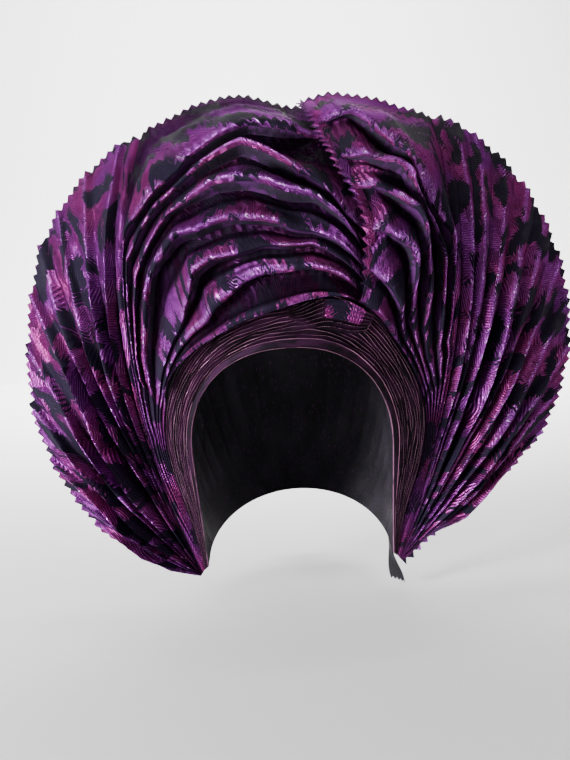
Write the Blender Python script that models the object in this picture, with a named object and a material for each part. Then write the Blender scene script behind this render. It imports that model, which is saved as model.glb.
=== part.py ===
"""Tied gele head tie: walls of folded metallic brocade round a head.

Metres, +Z up, face towards -Y, +X to the viewer's right. The origin is the
crown seat, where the inside of the cap rests on top of the head.

The front pieces all lie on one dish. A place on the dish is an angle round
the face, in degrees from +X, and a reach: -1 at the edge of the face, 0 at
the outer edge of the forehead band and 1 at the pinked rim.
"""
import bmesh
import bpy
import numpy as np

MM = 0.001

# Face opening: an arch with straight sides that ends at the two pivots
FACE_HALF_WIDTH = 65 * MM
FACE_ARCH_HEIGHT = 73 * MM
ARCH_SQUARENESS = 2.3
HAIRLINE_DROP = 22 * MM
HAIRLINE_FORWARD = 60 * MM
FACE_RAKE = 0.42
PIVOT_DROP = 83 * MM

# Pleated forehead band
BAND_WIDTH = 36 * MM
BAND_PLEATS = 7
BAND_HEM_SHARE = 0.16
BAND_HEM_HEIGHT_SHARE = 0.6
BAND_VALLEY_SHARE = 0.35
BAND_PLEAT_DEPTH = 1.8 * MM
BAND_SIDE_SLOPE = 0.90
BAND_CROWN_SLOPE = 0.15

# Dish of the two fans
FAN_REACH = 245 * MM
RIM_BACK = 12 * MM
RIM_SLOPE = 0.148
CROWN_PUFF = 28 * MM
SIDE_PUFF = 4 * MM
PUFF_SPAN = 150 * MM
PIVOT_GATHER = 6 * MM

# Folds
FAN_FOLD_DEPTH = 8 * MM
SWAG_FOLD_DEPTH = 12 * MM
FOLD_SLOPE = 0.5
FAN_PIVOT_SHARE = 0.45
RIM_FLAT_SHARE = 0.80
HEM_FOLD_SHARE = 0.25
LIP_DEPTH = 10 * MM
LIP_START_ANGLE = 155
LIP_FULL_ANGLE = 140
LIP_RISE_SHARE = 0.02
SEAT_STRIP = 4 * MM
SEAT_FADE_ANGLE = 12
TUCK_PLEATS = 5
TUCK_PLEAT_DEPTH = 1.8 * MM
TUCK_ANGLES = (87, 60)
TUCK_BOTTOM_SHARE = -0.62
TUCK_TOP_TABLE = ((60, -0.10), (87, -0.26))
TUCK_PROFILE = (0.3, 1.0, 0.3)

# Cap over the back of the head
HEAD_HALF_WIDTH = 71 * MM
HEAD_HALF_LENGTH = 92 * MM
HEAD_HALF_HEIGHT = 97 * MM
HEAD_CENTRE_BACK = 18 * MM
HEAD_SQUARENESS = 2.3
CAP_EDGE_INSET = 3 * MM
CAP_EDGE_LIMIT_SHARE = -0.4
CAP_COLUMNS = 21
CAP_ROWS = 10
NAPE_INSET = 7 * MM
NAPE_DEPTH = 76 * MM
NAPE_START_BACK = 14 * MM
NAPE_RISE = 28 * MM
# Point that pulls the cap's lines up over the head, in half sizes of the head
OVER_SIDE_SHARE = 1.25
OVER_BACK_SHARE = 0.3
OVER_START_SHARE = -0.85
OVER_RISE_SHARE = 2.4

# Tie round the nape, its knot and its free end
TIE_HEIGHT_SHARE = 0.09
TIE_BOTTOM_SHARE = 0.97
TIE_END_SHARE = 0.08
TIE_PLEAT_DEPTH = 2.0 * MM
TIE_PROFILE = (0.0, 1.0, 0.2, 1.0, 0.0)
TIE_COLUMNS = 17
KNOT_WIDTH = 46 * MM
KNOT_HEIGHT = 30 * MM
KNOT_DEPTH = 17 * MM
KNOT_WAIST_SHARE = 0.25
KNOT_SIDES = 14
KNOT_RINGS = 8
TAIL_LENGTH = 30 * MM
TAIL_NARROW_SHARE = 0.25
TAIL_SHARES = (0.945, 0.995)
TAIL_POINTS = 4

# Steps to each side for the slope of the dish, and the number of points
SLOPE_ANGLE_STEP = 2.5
SLOPE_SHARE_STEP = 0.06
LINE_POINTS = 16
LINE_POWER = 0.8
CROWN_COLUMNS = 12
RIGHT_TOP_COLUMNS = 7
BAND_COLUMNS = 34
SHARP_ANGLE = 35

# Cloth and clearances
CLOTH_WALL = 2.4 * MM
CAP_WALL = 2.0 * MM
GAP = 0.35 * MM
CURVED_GAP = 0.7 * MM

FACE_CENTRE_Z = -(HAIRLINE_DROP + FACE_ARCH_HEIGHT)
PIVOT_Z = FACE_CENTRE_Z - PIVOT_DROP
PIVOT_ANGLE = float(np.degrees(np.arctan2(PIVOT_DROP, FACE_HALF_WIDTH)))
LEFT_PIVOT = 180 + PIVOT_ANGLE
RIGHT_PIVOT = -PIVOT_ANGLE

# Width of the band round the face, as a share of BAND_WIDTH
BAND_TABLE = (
    # angle, width
    (RIGHT_PIVOT, 0.12),
    (0, 0.67),
    (45, 0.74),
    (75, 1.00),
    (90, 0.86),
    (130, 0.61),
    (180, 0.47),
    (LEFT_PIVOT, 0.12),
)

# Outline of the rim from the centre of the face, as a share of FAN_REACH
RIM_TABLE = (
    # angle, reach
    (-38, 0.470),
    (-20, 0.563),
    (0, 0.735),
    (20, 0.869),
    (40, 0.967),
    (55, 1.008),
    (70, 0.992),
    (80, 0.967),
    (84, 0.943),
    (95, 0.984),
    (110, 0.967),
    (120, 0.959),
    (130, 0.931),
    (140, 0.886),
    (150, 0.829),
    (170, 0.739),
    (190, 0.645),
    (212, 0.555),
)

# Crest of each fan fold: the angle where it meets the rim, and how far it
# bows outwards, as a share of its length. The last row is the valley that
# parts the fan from the folds over the crown.
LEFT_FAN_TABLE = (
    # rim_angle, bow
    (212, 0.00),
    (199, 0.00),
    (184, 0.00),
    (169, 0.00),
    (157, 0.00),
    (147, 0.00),
    (138, 0.00),
    (131, 0.015),
    (124, 0.035),
    (116, 0.06),
    (112, 0.067),
)
RIGHT_FAN_TABLE = (
    # rim_angle, bow
    (-21, 0.00),
    (-10, 0.00),
    (0, 0.00),
    (10, 0.00),
    (20, 0.00),
    (28, 0.00),
    (36, 0.01),
    (42, 0.025),
    (49, 0.02),
    (58, 0.045),
    (62, 0.05),
)

# Profile of one fold from crest to crest: a sharp drop, then a broad face
FAN_PROFILE = (
    # share_of_fold, share_of_depth
    (0.45, 0.00),
    (0.75, 0.45),
    (1.00, 1.00),
)
SWEEP_PROFILE = (
    # share_of_fold, share_of_depth
    (0.30, 0.00),
    (0.65, 0.45),
    (1.00, 1.00),
)
FIRST_FAN_SHARE = 0.35
FIRST_SWEEP_POINT = (0.5, 0.4)

# Reach of each fold that sweeps over the crown, at angles round the face.
# The angles past SWAG_TURN_ANGLE close up so that the last one is the right hem.
# Towards the pivot, where there is less room, the folds crowd together.
SWAG_TURN_ANGLE = 112
SWAG_END_ANGLE = 66
SWAG_STATIONS = (170, 150, 137, 126, SWAG_TURN_ANGLE, 96, 84, 75, SWAG_END_ANGLE)
SWAG_TABLE = (
    # temple, side, shoulder, high, turn, crown, fall, dip, hem
    (0.140, 0.240, 0.420, 0.54, 0.66, 0.73, 0.81, 0.80, 0.80),
    (0.100, 0.190, 0.370, 0.48, 0.59, 0.66, 0.54, 0.36, 0.28),
    (0.075, 0.140, 0.290, 0.41, 0.53, 0.50, 0.43, 0.28, 0.18),
    (0.055, 0.100, 0.220, 0.35, 0.42, 0.34, 0.28, 0.19, 0.12),
    (0.040, 0.055, 0.080, 0.15, 0.27, 0.23, 0.21, 0.14, 0.08),
    (0.025, 0.030, 0.060, 0.08, 0.13, 0.14, 0.12, 0.07, 0.04),
    (0.010, 0.010, -0.06, -0.20, -0.30, -0.26, -0.18, -0.08, 0.01),
)

# The same for the folds of the right sheet, from its side to its hem
RIGHT_TURN_ANGLE = 42
RIGHT_END_ANGLE = 84
RIGHT_STATIONS = (8, 24, 33, RIGHT_TURN_ANGLE, 50, 57, 64, 70, 77, RIGHT_END_ANGLE)
RIGHT_TABLE = (
    # temple, side, rise, turn, high, crown, fall, dip, low, hem
    (0.17, 0.17, 0.21, 0.33, 0.47, 0.53, 0.60, 0.69, 0.83, 0.92),
    (0.12, 0.12, 0.15, 0.25, 0.40, 0.47, 0.53, 0.57, 0.60, 0.62),
    (0.09, 0.08, 0.09, 0.14, 0.22, 0.33, 0.44, 0.47, 0.48, 0.48),
    (0.06, 0.05, 0.06, 0.08, 0.11, 0.17, 0.27, 0.31, 0.32, 0.32),
    (0.03, 0.03, 0.03, 0.04, 0.05, 0.07, 0.11, 0.13, 0.14, 0.14),
)

# Angle of the right sheet's pinked hem, which runs from the rim to the pinch.
# The crown's folds flatten out over HEM_FADE_ANGLE degrees and end
# HEM_LAP_ANGLE under it. From HEM_CLEAR_ANGLE past the lap, the right sheet
# settles back on the dish over HEM_SETTLE_ANGLE.
HEM_LAP_ANGLE = 4
HEM_FADE_ANGLE = 6
HEM_CLEAR_ANGLE = 1
HEM_SETTLE_ANGLE = 12
HEM_TABLE = (
    # reach, angle
    (-0.05, 64),
    (0.10, 65),
    (0.27, 68),
    (0.40, 71),
    (0.55, 76),
    (0.75, 80),
    (1.00, 84),
)


def smooth_curve(x, table):
    """Smooth curve through a table of (place, value) rows."""
    place, value = np.array(sorted(table), float).T
    slope = np.gradient(value, place)
    i = np.clip(np.searchsorted(place, x, side="right") - 1, 0, len(place) - 2)
    span = place[i + 1] - place[i]
    t = np.clip((x - place[i]) / span, 0, 1)
    start = value[i] * (2 * t**3 - 3 * t**2 + 1) + slope[i] * span * (t**3 - 2 * t**2 + t)
    end = value[i + 1] * (3 * t**2 - 2 * t**3) + slope[i + 1] * span * (t**3 - t**2)
    return start + end


def face_radius(angle):
    """Distance from the centre of the face to the edge of the opening."""
    across = np.abs(np.cos(np.radians(angle))) / FACE_HALF_WIDTH
    up = np.clip(np.sin(np.radians(angle)), 0, None) / FACE_ARCH_HEIGHT
    return (across**ARCH_SQUARENESS + up**ARCH_SQUARENESS) ** (-1 / ARCH_SQUARENESS)


def band_radius(angle):
    """Distance from the centre of the face to the band's outer edge."""
    return face_radius(angle) + BAND_WIDTH * smooth_curve(angle, BAND_TABLE)


def rim_radius(angle):
    """Distance from the centre of the face to the rim."""
    ends = [(a, (band_radius(a) + PIVOT_GATHER) / FAN_REACH) for a in (LEFT_PIVOT, RIGHT_PIVOT)]
    return FAN_REACH * smooth_curve(angle, RIM_TABLE + tuple(ends))


def dish(angle, reach):
    """Point of the dish at an angle and a reach."""
    angle, reach = np.broadcast_arrays(np.asarray(angle, float), np.asarray(reach, float))
    face, band, rim = face_radius(angle), band_radius(angle), rim_radius(angle)
    out = np.clip(reach, 0, None)
    radius = band + np.where(reach < 0, reach * (band - face), reach * (rim - band))
    up = np.sin(np.radians(angle))
    slope = BAND_SIDE_SLOPE + (BAND_CROWN_SLOPE - BAND_SIDE_SLOPE) * np.clip(up, 0, 1)
    face_y = -HAIRLINE_FORWARD - FACE_RAKE * (HAIRLINE_DROP + FACE_CENTRE_Z + face * up)
    band_y = face_y + slope * (band - face)
    rim_y = RIM_BACK + RIM_SLOPE * (FACE_CENTRE_Z + rim * up - PIVOT_Z)
    puff = SIDE_PUFF + CROWN_PUFF * np.clip(up, 0, 1) ** 2
    puff = puff * 4 * out * (1 - out) * (rim - band) / PUFF_SPAN
    y = np.where(reach < 0, face_y + slope * (radius - face), band_y + (rim_y - band_y) * out - puff)
    x = radius * np.cos(np.radians(angle))
    return np.stack([x, y, FACE_CENTRE_Z + radius * up], axis=-1)


def unit(vectors):
    """The same vectors with a length of one."""
    return vectors / np.linalg.norm(vectors, axis=-1, keepdims=True)


def dish_normal(angle, reach):
    """Forward normal of the dish, from the slopes a little to each side."""
    angle, reach = np.broadcast_arrays(np.asarray(angle, float), np.asarray(reach, float))
    round_face = dish(angle + SLOPE_ANGLE_STEP, reach) - dish(angle - SLOPE_ANGLE_STEP, reach)
    outwards = dish(angle, reach + SLOPE_SHARE_STEP) - dish(angle, reach - SLOPE_SHARE_STEP)
    return unit(np.cross(outwards, round_face))


def chart_place(x, z):
    """Angle and reach of a point that is seen from the front at x, z."""
    angle = np.degrees(np.arctan2(z - FACE_CENTRE_Z, x))
    angle = np.where(angle < -90, angle + 360, angle)
    band, rim = band_radius(angle), rim_radius(angle)
    return angle, (np.hypot(x, z - FACE_CENTRE_Z) - band) / (rim - band)


def cloth_material(name, colour, roughness, metallic):
    """Plain finish of one kind of cloth."""
    material = bpy.data.materials.new(name)
    material.use_nodes = True
    shader = material.node_tree.nodes["Principled BSDF"]
    shader.inputs["Base Color"].default_value = (*colour, 1)
    shader.inputs["Roughness"].default_value = roughness
    shader.inputs["Metallic"].default_value = metallic
    return material


def make_wall(name, front, back, material):
    """Closed wall between two grids of points: the front sheet, extruded."""
    rows, columns = front.shape[:2]
    bm = bmesh.new()
    number = bm.verts.layers.int.new("number")
    points = [bm.verts.new(p) for p in front.reshape(-1, 3)]
    for i, point in enumerate(points):
        point[number] = i
    for row in range(rows - 1):
        for column in range(columns - 1):
            a = row * columns + column
            bm.faces.new([points[i] for i in (a, a + 1, a + columns + 1, a + columns)])
    raised = bmesh.ops.extrude_face_region(bm, geom=bm.faces[:])
    rear = back.reshape(-1, 3)
    for item in raised["geom"]:
        if isinstance(item, bmesh.types.BMVert):
            item.co = rear[item[number]]
    bmesh.ops.recalc_face_normals(bm, faces=bm.faces[:])
    if bm.calc_volume(signed=True) < 0:
        bmesh.ops.reverse_faces(bm, faces=bm.faces[:])
    mesh = bpy.data.meshes.new(name)
    bm.to_mesh(mesh)
    bm.free()
    mesh.materials.append(material)
    mesh.shade_smooth()
    mesh.set_sharp_from_angle(angle=np.radians(SHARP_ANGLE))
    piece = bpy.data.objects.new(name, mesh)
    bpy.context.scene.collection.objects.link(piece)
    return piece


def make_dish_wall(name, angle, reach, height, material):
    """Wall of cloth on the dish, its front raised by height above it."""
    base, normal = dish(angle, reach), dish_normal(angle, reach)
    front = base + normal * height[..., None]
    back = base + normal * (height - CLOTH_WALL)[..., None]
    return make_wall(name, front, back, material)


def bent_line(start, end, bow, outward, along):
    """Line from start to end in the x, z plane, bowed to its outward side."""
    step = end - start
    side = np.stack([-step[..., 1], step[..., 0]], axis=-1) * outward
    control = (start + end) / 2 + 2 * bow * side
    t = along[:, None]
    return (1 - t) ** 2 * start + 2 * t * (1 - t) * control + t**2 * end


def fan_line(table, row, pivot, outward, along, inset=0.0):
    """Angle and reach along the fold of a fan at a fractional table row.

    The inset moves the whole line towards the next row, past the fan's edge.
    """
    rim_angle, bow = [np.interp(row, range(len(table)), column) for column in np.array(table, float).T]
    start = dish(pivot, 1 - FAN_PIVOT_SHARE * row / (len(table) - 1))[[0, 2]]
    end = dish(rim_angle, 1.0)[[0, 2]]
    line = bent_line(start, end, bow, outward, along)
    step = unit(np.gradient(line, axis=0))
    line = line + inset * outward * np.stack([step[:, 1], -step[:, 0]], axis=-1)
    angle, reach = chart_place(line[:, 0], line[:, 1])
    return angle, np.minimum(reach, 1.0)


def edge_reach(angle):
    """Reach that stands clear of the band's outer edge."""
    return CURVED_GAP / (rim_radius(angle) - band_radius(angle))


def distance_between_rows(angle, reach):
    """Distance from each row to the nearer of its neighbours."""
    points = dish(angle, reach)
    steps = np.linalg.norm(np.diff(points, axis=0), axis=-1)
    return np.minimum(np.concatenate([steps[:1], steps]), np.concatenate([steps, steps[-1:]]))


def make_fan(name, table, pivot, outward, along, material):
    """Fan of pleats from a pivot to the rim: a crest, then a valley, in turn."""
    folds = len(table) - 1
    crest_line = [fan_line(table, row, pivot, outward, along) for row in range(folds + 1)]
    crest_gap = distance_between_rows(*[np.array(part) for part in zip(*crest_line)])
    depth = np.minimum(FAN_FOLD_DEPTH, FOLD_SLOPE * crest_gap)
    rows = [0.0]
    share = [FIRST_FAN_SHARE]
    for fold in range(folds):
        rows += [fold + part for part, _ in FAN_PROFILE]
        share += [part for _, part in FAN_PROFILE]
    share[-1] = 0.0
    lines = [fan_line(table, row, pivot, outward, along) for row in rows]
    angle, reach = [np.array(part) for part in zip(*lines)]
    nearest = np.clip(np.round(rows).astype(int), 0, folds)
    flatten = 1 - RIM_FLAT_SHARE * along**3
    height = np.array(share)[:, None] * depth[nearest] * flatten
    make_dish_wall(name, angle, np.maximum(reach, edge_reach(angle)), height, material)


def sweep_angles(first, turn, end, hem_angle):
    """Angles of one fold: fixed up to the turn, then closed up to its hem."""
    closing = (first - turn) / (end - turn)
    return np.where(closing > 0, turn + (hem_angle - turn) * closing, first)


def hem_line(reach):
    """Angle of the right sheet's hem at a reach."""
    return smooth_curve(reach, HEM_TABLE)


def sweep_folds(columns, outer, table, stations, turn, end, hem_side, depth_limit, seated):
    """Folds that sweep over the crown, each falling sharply past its crest.

    Seated folds end flat on the band's edge, the others at their last crest.
    Gives the angle, reach and height of every point and the row numbers.
    """
    last = len(table) + (1 if seated else 0)
    crests = [outer]
    edge = edge_reach(columns)
    for fold, row in enumerate(table, start=1):
        crowded = outer + (edge - outer) * fold / last
        crests.append(np.minimum(smooth_curve(columns, tuple(zip(stations, row))), crowded))
    if seated:
        crests.append(edge)
    crests = np.array(crests)
    rows = [0.0, FIRST_SWEEP_POINT[0], 1.0]
    share = [0.0, FIRST_SWEEP_POINT[1], 1.0]
    for fold in range(1, len(table)):
        rows += [fold + part for part, _ in SWEEP_PROFILE]
        share += [part for _, part in SWEEP_PROFILE]
    if seated:
        rows.append(last)
        share.append(0.0)
    rows, share = np.array(rows), np.array(share)[:, None]
    reach = np.array([np.interp(rows, range(len(crests)), crests[:, j]) for j in range(len(columns))]).T
    hem_angle = hem_line(reach[:, -1:]) + hem_side
    angle = sweep_angles(columns[None, :], turn, end, hem_angle)
    crest_angle = sweep_angles(columns[None, :], turn, end, hem_line(crests[:, -1:]))
    crest_gap = distance_between_rows(crest_angle, crests)
    depth = np.minimum(depth_limit, FOLD_SLOPE * crest_gap)
    nearest = np.round(rows).astype(int)
    return angle, reach, share * depth[nearest], rows


def seat_strip(angle):
    """Width of the strip of the band that runs on behind the crown's lip."""
    from_end = np.minimum(angle - SWAG_END_ANGLE, LIP_START_ANGLE - angle)
    return SEAT_STRIP * np.clip(from_end / SEAT_FADE_ANGLE, 0, 1)


def fan_boundary(table, pivot, outward):
    """Angle and reach just past the last valley of a fan."""
    along = np.linspace(0, 1, LINE_POINTS) ** LINE_POWER
    return fan_line(table, len(table) - 1, pivot, outward, along, CURVED_GAP)


def make_fans(purple):
    """The two fans of pleats, one to each side."""
    along = np.linspace(0, 1, LINE_POINTS) ** LINE_POWER
    make_fan("left_fan", LEFT_FAN_TABLE, LEFT_PIVOT, 1, along, purple)
    make_fan("right_fan", RIGHT_FAN_TABLE, RIGHT_PIVOT, -1, along, purple)


def make_crown_swag(purple):
    """Folds that sweep from the left temple over the crown to the pinch.

    The last fold ends in a lip that stands clear of the forehead band.
    """
    boundary = fan_boundary(LEFT_FAN_TABLE, LEFT_PIVOT, 1)
    crown = np.linspace(boundary[0][-1], SWAG_END_ANGLE, CROWN_COLUMNS + 1)[1:]
    columns = np.concatenate([boundary[0], crown])
    outer = np.concatenate([boundary[1], np.ones(len(crown))])
    angle, reach, height, rows = sweep_folds(
        columns, outer, SWAG_TABLE, SWAG_STATIONS, SWAG_TURN_ANGLE, SWAG_END_ANGLE,
        -HEM_LAP_ANGLE, SWAG_FOLD_DEPTH, False)
    last_valley = len(SWAG_TABLE) - 1 + SWEEP_PROFILE[0][0]
    lip = np.clip((rows - last_valley) / (len(SWAG_TABLE) - last_valley), 0, 1)[:, None]
    over_crown = np.clip((LIP_START_ANGLE - angle) / (LIP_START_ANGLE - LIP_FULL_ANGLE), 0, 1)
    height = height * (1 - lip * over_crown) + LIP_DEPTH * lip * over_crown
    fade = np.clip((angle - hem_line(reach)) / HEM_FADE_ANGLE, 0, 1)
    edge = edge_reach(angle)
    reach = np.where(reach < edge, edge + (reach - edge) * fade, reach)
    seat = edge + seat_strip(angle) / (rim_radius(angle) - band_radius(angle))
    valley = len(rows) - len(SWEEP_PROFILE)
    reach[valley] = np.maximum(reach[valley], seat[valley])
    over_band = (BAND_PLEAT_DEPTH + CURVED_GAP + CLOTH_WALL) * np.clip(-reach / LIP_RISE_SHARE, 0, 1)
    make_dish_wall("crown_swag", angle, reach, np.maximum(height * fade, over_band), purple)


def make_right_swag(purple):
    """The right sheet: folds that rise to its hem, which laps over the crown."""
    boundary = fan_boundary(RIGHT_FAN_TABLE, RIGHT_PIVOT, -1)
    top = np.linspace(boundary[0][-1], RIGHT_END_ANGLE, RIGHT_TOP_COLUMNS + 1)[1:]
    columns = np.concatenate([boundary[0], top])
    outer = np.concatenate([boundary[1], np.ones(len(top))])
    angle, reach, height, _ = sweep_folds(
        columns, outer, RIGHT_TABLE, RIGHT_STATIONS, RIGHT_TURN_ANGLE, RIGHT_END_ANGLE,
        0.0, FAN_FOLD_DEPTH, True)
    from_hem = hem_line(reach) - angle
    settled = np.clip(from_hem / HEM_SETTLE_ANGLE, 0, 1)
    past_lap = np.clip((from_hem - HEM_LAP_ANGLE - HEM_CLEAR_ANGLE) / HEM_SETTLE_ANGLE, 0, 1)
    height = height * (HEM_FOLD_SHARE + (1 - HEM_FOLD_SHARE) * settled)
    height = height + (CLOTH_WALL + CURVED_GAP) * (1 - past_lap)
    make_dish_wall("right_swag", angle, reach, height, purple)


def make_band(dark):
    """Forehead band: a plain hem next to the face, then fine pleats.

    Its last row is a strip that runs on behind the lip of the crown's folds.
    """
    angle = np.linspace(LEFT_PIVOT, RIGHT_PIVOT, BAND_COLUMNS)
    share = [0.0, BAND_HEM_SHARE]
    height = [BAND_HEM_HEIGHT_SHARE, BAND_HEM_HEIGHT_SHARE]
    pitch = (1 - BAND_HEM_SHARE) / BAND_PLEATS
    for pleat in range(BAND_PLEATS):
        share += [BAND_HEM_SHARE + pitch * (pleat + part) for part in (BAND_VALLEY_SHARE, 1)]
        height += [0.0, 1.0]
    height[-1] = 0.0
    width = band_radius(angle) - face_radius(angle)
    reach = np.array(share)[:, None] - 1 + 0 * angle
    reach[-1] = -2 * GAP / width
    relief = np.array(height)[:, None] * BAND_PLEAT_DEPTH * np.clip(width / BAND_WIDTH, 0, 1)
    strip = seat_strip(angle) - GAP
    strip_reach = np.where(strip < 0, strip / width, strip / (rim_radius(angle) - band_radius(angle)))
    strip_relief = -(CLOTH_WALL + CURVED_GAP) * seat_strip(angle) / SEAT_STRIP
    reach = np.vstack([reach, strip_reach])
    relief = np.vstack([relief, strip_relief])
    make_dish_wall("pleat_band", angle + 0 * reach, reach, relief, dark)


def make_tuck(purple):
    """Small loops of cloth tucked in over the band, below the pinch."""
    angle = np.linspace(*TUCK_ANGLES, 2 * TUCK_PLEATS + 1)
    top = smooth_curve(angle, TUCK_TOP_TABLE)
    share = np.linspace(0, 1, len(TUCK_PROFILE))[:, None]
    reach = TUCK_BOTTOM_SHARE + share * (top - TUCK_BOTTOM_SHARE)
    crest = (np.arange(len(angle)) % 2) * TUCK_PLEAT_DEPTH
    over_band = BAND_PLEAT_DEPTH + CURVED_GAP + CLOTH_WALL
    height = over_band + crest * np.array(TUCK_PROFILE)[:, None]
    make_dish_wall("tuck_pleats", angle + 0 * reach, reach, height, purple)


HEAD_CENTRE = np.array([0, HEAD_CENTRE_BACK, -HEAD_HALF_HEIGHT])
HEAD_AXES = np.array([HEAD_HALF_WIDTH, HEAD_HALF_LENGTH, HEAD_HALF_HEIGHT])


def on_head(direction, offset):
    """Point of the head's rounded form, grown by offset, in a direction."""
    scaled = np.abs(direction) ** HEAD_SQUARENESS
    size = scaled.sum(axis=-1, keepdims=True) ** (-1 / HEAD_SQUARENESS)
    return HEAD_CENTRE + direction * size * (HEAD_AXES + offset)


def cap_point(across, down, offset):
    """Point of the cap, from its front edge (down 0) to its nape hem (1)."""
    across, down = np.broadcast_arrays(np.asarray(across, float), np.asarray(down, float))
    angle = LEFT_PIVOT + (RIGHT_PIVOT - LEFT_PIVOT) * across
    inset = -1 + CAP_EDGE_INSET / (band_radius(angle) - face_radius(angle))
    inset = np.minimum(inset, CAP_EDGE_LIMIT_SHARE)
    behind = CLOTH_WALL + CURVED_GAP + CAP_WALL - offset
    front = dish(angle, inset) - dish_normal(angle, inset) * behind[..., None]
    turn = np.pi * across
    pivot_y = dish(LEFT_PIVOT, -1.0)[1]
    width = HEAD_HALF_WIDTH - NAPE_INSET + offset
    nape = np.stack([
        -width * np.cos(turn),
        pivot_y + NAPE_START_BACK + (NAPE_DEPTH + offset) * np.sin(turn),
        PIVOT_Z + NAPE_RISE * np.sin(turn),
    ], axis=-1)
    over = np.stack([
        -OVER_SIDE_SHARE * np.cos(turn),
        OVER_BACK_SHARE * np.sin(turn),
        OVER_START_SHARE + OVER_RISE_SHARE * np.sin(turn),
    ], axis=-1)
    to_front = (front - HEAD_CENTRE) / HEAD_AXES
    to_nape = (nape - HEAD_CENTRE) / HEAD_AXES
    v = down[..., None]
    direction = (1 - v) ** 2 * to_front + 2 * v * (1 - v) * over + v**2 * to_nape
    point = on_head(direction, offset)
    point = point + (front - on_head(to_front, offset)) * (1 - v) ** 3
    return point + (nape - on_head(to_nape, offset)) * v**3


def make_cap(dark):
    """Cap over the back of the head, from behind the band to the nape."""
    across = np.linspace(0, 1, CAP_COLUMNS)[None, :]
    down = np.linspace(0, 1, CAP_ROWS)[:, None]
    outer = cap_point(across, down, np.array(CAP_WALL))
    inner = cap_point(across, down, np.array(0.0))
    make_wall("head_cap", outer, inner, dark)


def cap_normal(across, down):
    """Outward normal of the cap, from its outer side to just above it."""
    outer = cap_point(across, down, np.array(CAP_WALL))
    return unit(outer - cap_point(across, down, np.array(0.0)))


def make_tie(dark):
    """Tie drawn round the nape over the cap's hem."""
    across = np.linspace(TIE_END_SHARE, 1 - TIE_END_SHARE, TIE_COLUMNS)[None, :]
    top = TIE_BOTTOM_SHARE - TIE_HEIGHT_SHARE
    down = np.linspace(top, TIE_BOTTOM_SHARE, len(TIE_PROFILE))[:, None]
    seat = cap_point(across, down, np.array(CAP_WALL))
    normal = cap_normal(across, down)
    pleat = np.array(TIE_PROFILE)[:, None, None] * TIE_PLEAT_DEPTH
    inner = seat + normal * (CURVED_GAP + pleat)
    make_wall("nape_tie", inner + normal * CLOTH_WALL, inner, dark)


def make_knot(dark):
    """Knot of the tie at the middle of the nape: a flattened round lump."""
    middle = TIE_BOTTOM_SHARE - TIE_HEIGHT_SHARE / 2
    seat = cap_point(0.5, middle, np.array(CAP_WALL))
    normal = cap_normal(0.5, middle)
    proud = CURVED_GAP + TIE_PLEAT_DEPTH + CLOTH_WALL + GAP + KNOT_DEPTH / 2
    bm = bmesh.new()
    bmesh.ops.create_uvsphere(bm, u_segments=KNOT_SIDES, v_segments=KNOT_RINGS, radius=0.5)
    for point in bm.verts:
        x, y, z = point.co
        waist = 1 - KNOT_WAIST_SHARE * np.cos(2 * np.pi * x) ** 2
        point.co = (x * KNOT_WIDTH, y * KNOT_DEPTH, z * KNOT_HEIGHT * waist)
    mesh = bpy.data.meshes.new("nape_knot")
    bm.to_mesh(mesh)
    bm.free()
    mesh.materials.append(dark)
    mesh.shade_smooth()
    knot = bpy.data.objects.new("nape_knot", mesh)
    knot.location = seat + normal * proud
    bpy.context.scene.collection.objects.link(knot)


def make_tail(dark):
    """Free end of the tie, hanging from the hem behind the right pivot."""
    across = np.linspace(*TAIL_SHARES, TAIL_POINTS)[None, :]
    drop = np.linspace(0, 1, TAIL_POINTS)[:, None]
    hem = cap_point(across, 1.0, np.array(CAP_WALL))
    inside = cap_point(across, 1.0, np.array(0.0))
    share = np.linspace(0, 1, TAIL_POINTS)[None, :]
    narrow = (share - 0.5)[..., None] * drop[..., None] * TAIL_NARROW_SHARE
    width = hem[:, -1:] - hem[:, :1]
    down = (CURVED_GAP + TAIL_LENGTH * drop)[..., None] * np.array([0.1, 0.0, -1.0])
    make_wall("tie_tail", hem - narrow * width + down, inside - narrow * width + down, dark)


for item in list(bpy.data.objects):
    bpy.data.objects.remove(item)

PURPLE = cloth_material("purple_brocade", (0.19, 0.02, 0.20), 0.38, 0.65)
DARK = cloth_material("dark_brocade", (0.035, 0.008, 0.045), 0.5, 0.35)
BLACK = cloth_material("black_lining_cloth", (0.012, 0.010, 0.016), 0.7, 0.0)

make_cap(BLACK)
make_band(DARK)
make_fans(PURPLE)
make_crown_swag(PURPLE)
make_right_swag(PURPLE)
make_tuck(PURPLE)
make_tie(BLACK)
make_knot(BLACK)
make_tail(BLACK)
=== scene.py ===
import bpy
import numpy as np
from mathutils import Matrix, Vector


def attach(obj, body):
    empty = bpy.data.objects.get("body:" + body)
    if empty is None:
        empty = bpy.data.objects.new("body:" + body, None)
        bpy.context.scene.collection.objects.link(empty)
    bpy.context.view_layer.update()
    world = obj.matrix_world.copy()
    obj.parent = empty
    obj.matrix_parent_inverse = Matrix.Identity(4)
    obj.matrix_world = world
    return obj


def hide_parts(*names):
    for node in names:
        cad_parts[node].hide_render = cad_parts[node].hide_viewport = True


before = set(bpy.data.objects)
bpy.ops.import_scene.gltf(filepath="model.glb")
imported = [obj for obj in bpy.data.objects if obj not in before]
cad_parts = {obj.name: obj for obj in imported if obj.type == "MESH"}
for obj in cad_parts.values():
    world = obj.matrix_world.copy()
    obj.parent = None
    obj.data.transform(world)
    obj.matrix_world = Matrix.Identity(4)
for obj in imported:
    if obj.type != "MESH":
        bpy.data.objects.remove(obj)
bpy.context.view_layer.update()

MM = 0.001


# Head cap: the plain black back of the cloth, drawn tight over the top and
# the back of the head and gathered in to the nape. Nothing is sewn: the
# forehead band in front and the tie at the nape hold it down.

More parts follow.
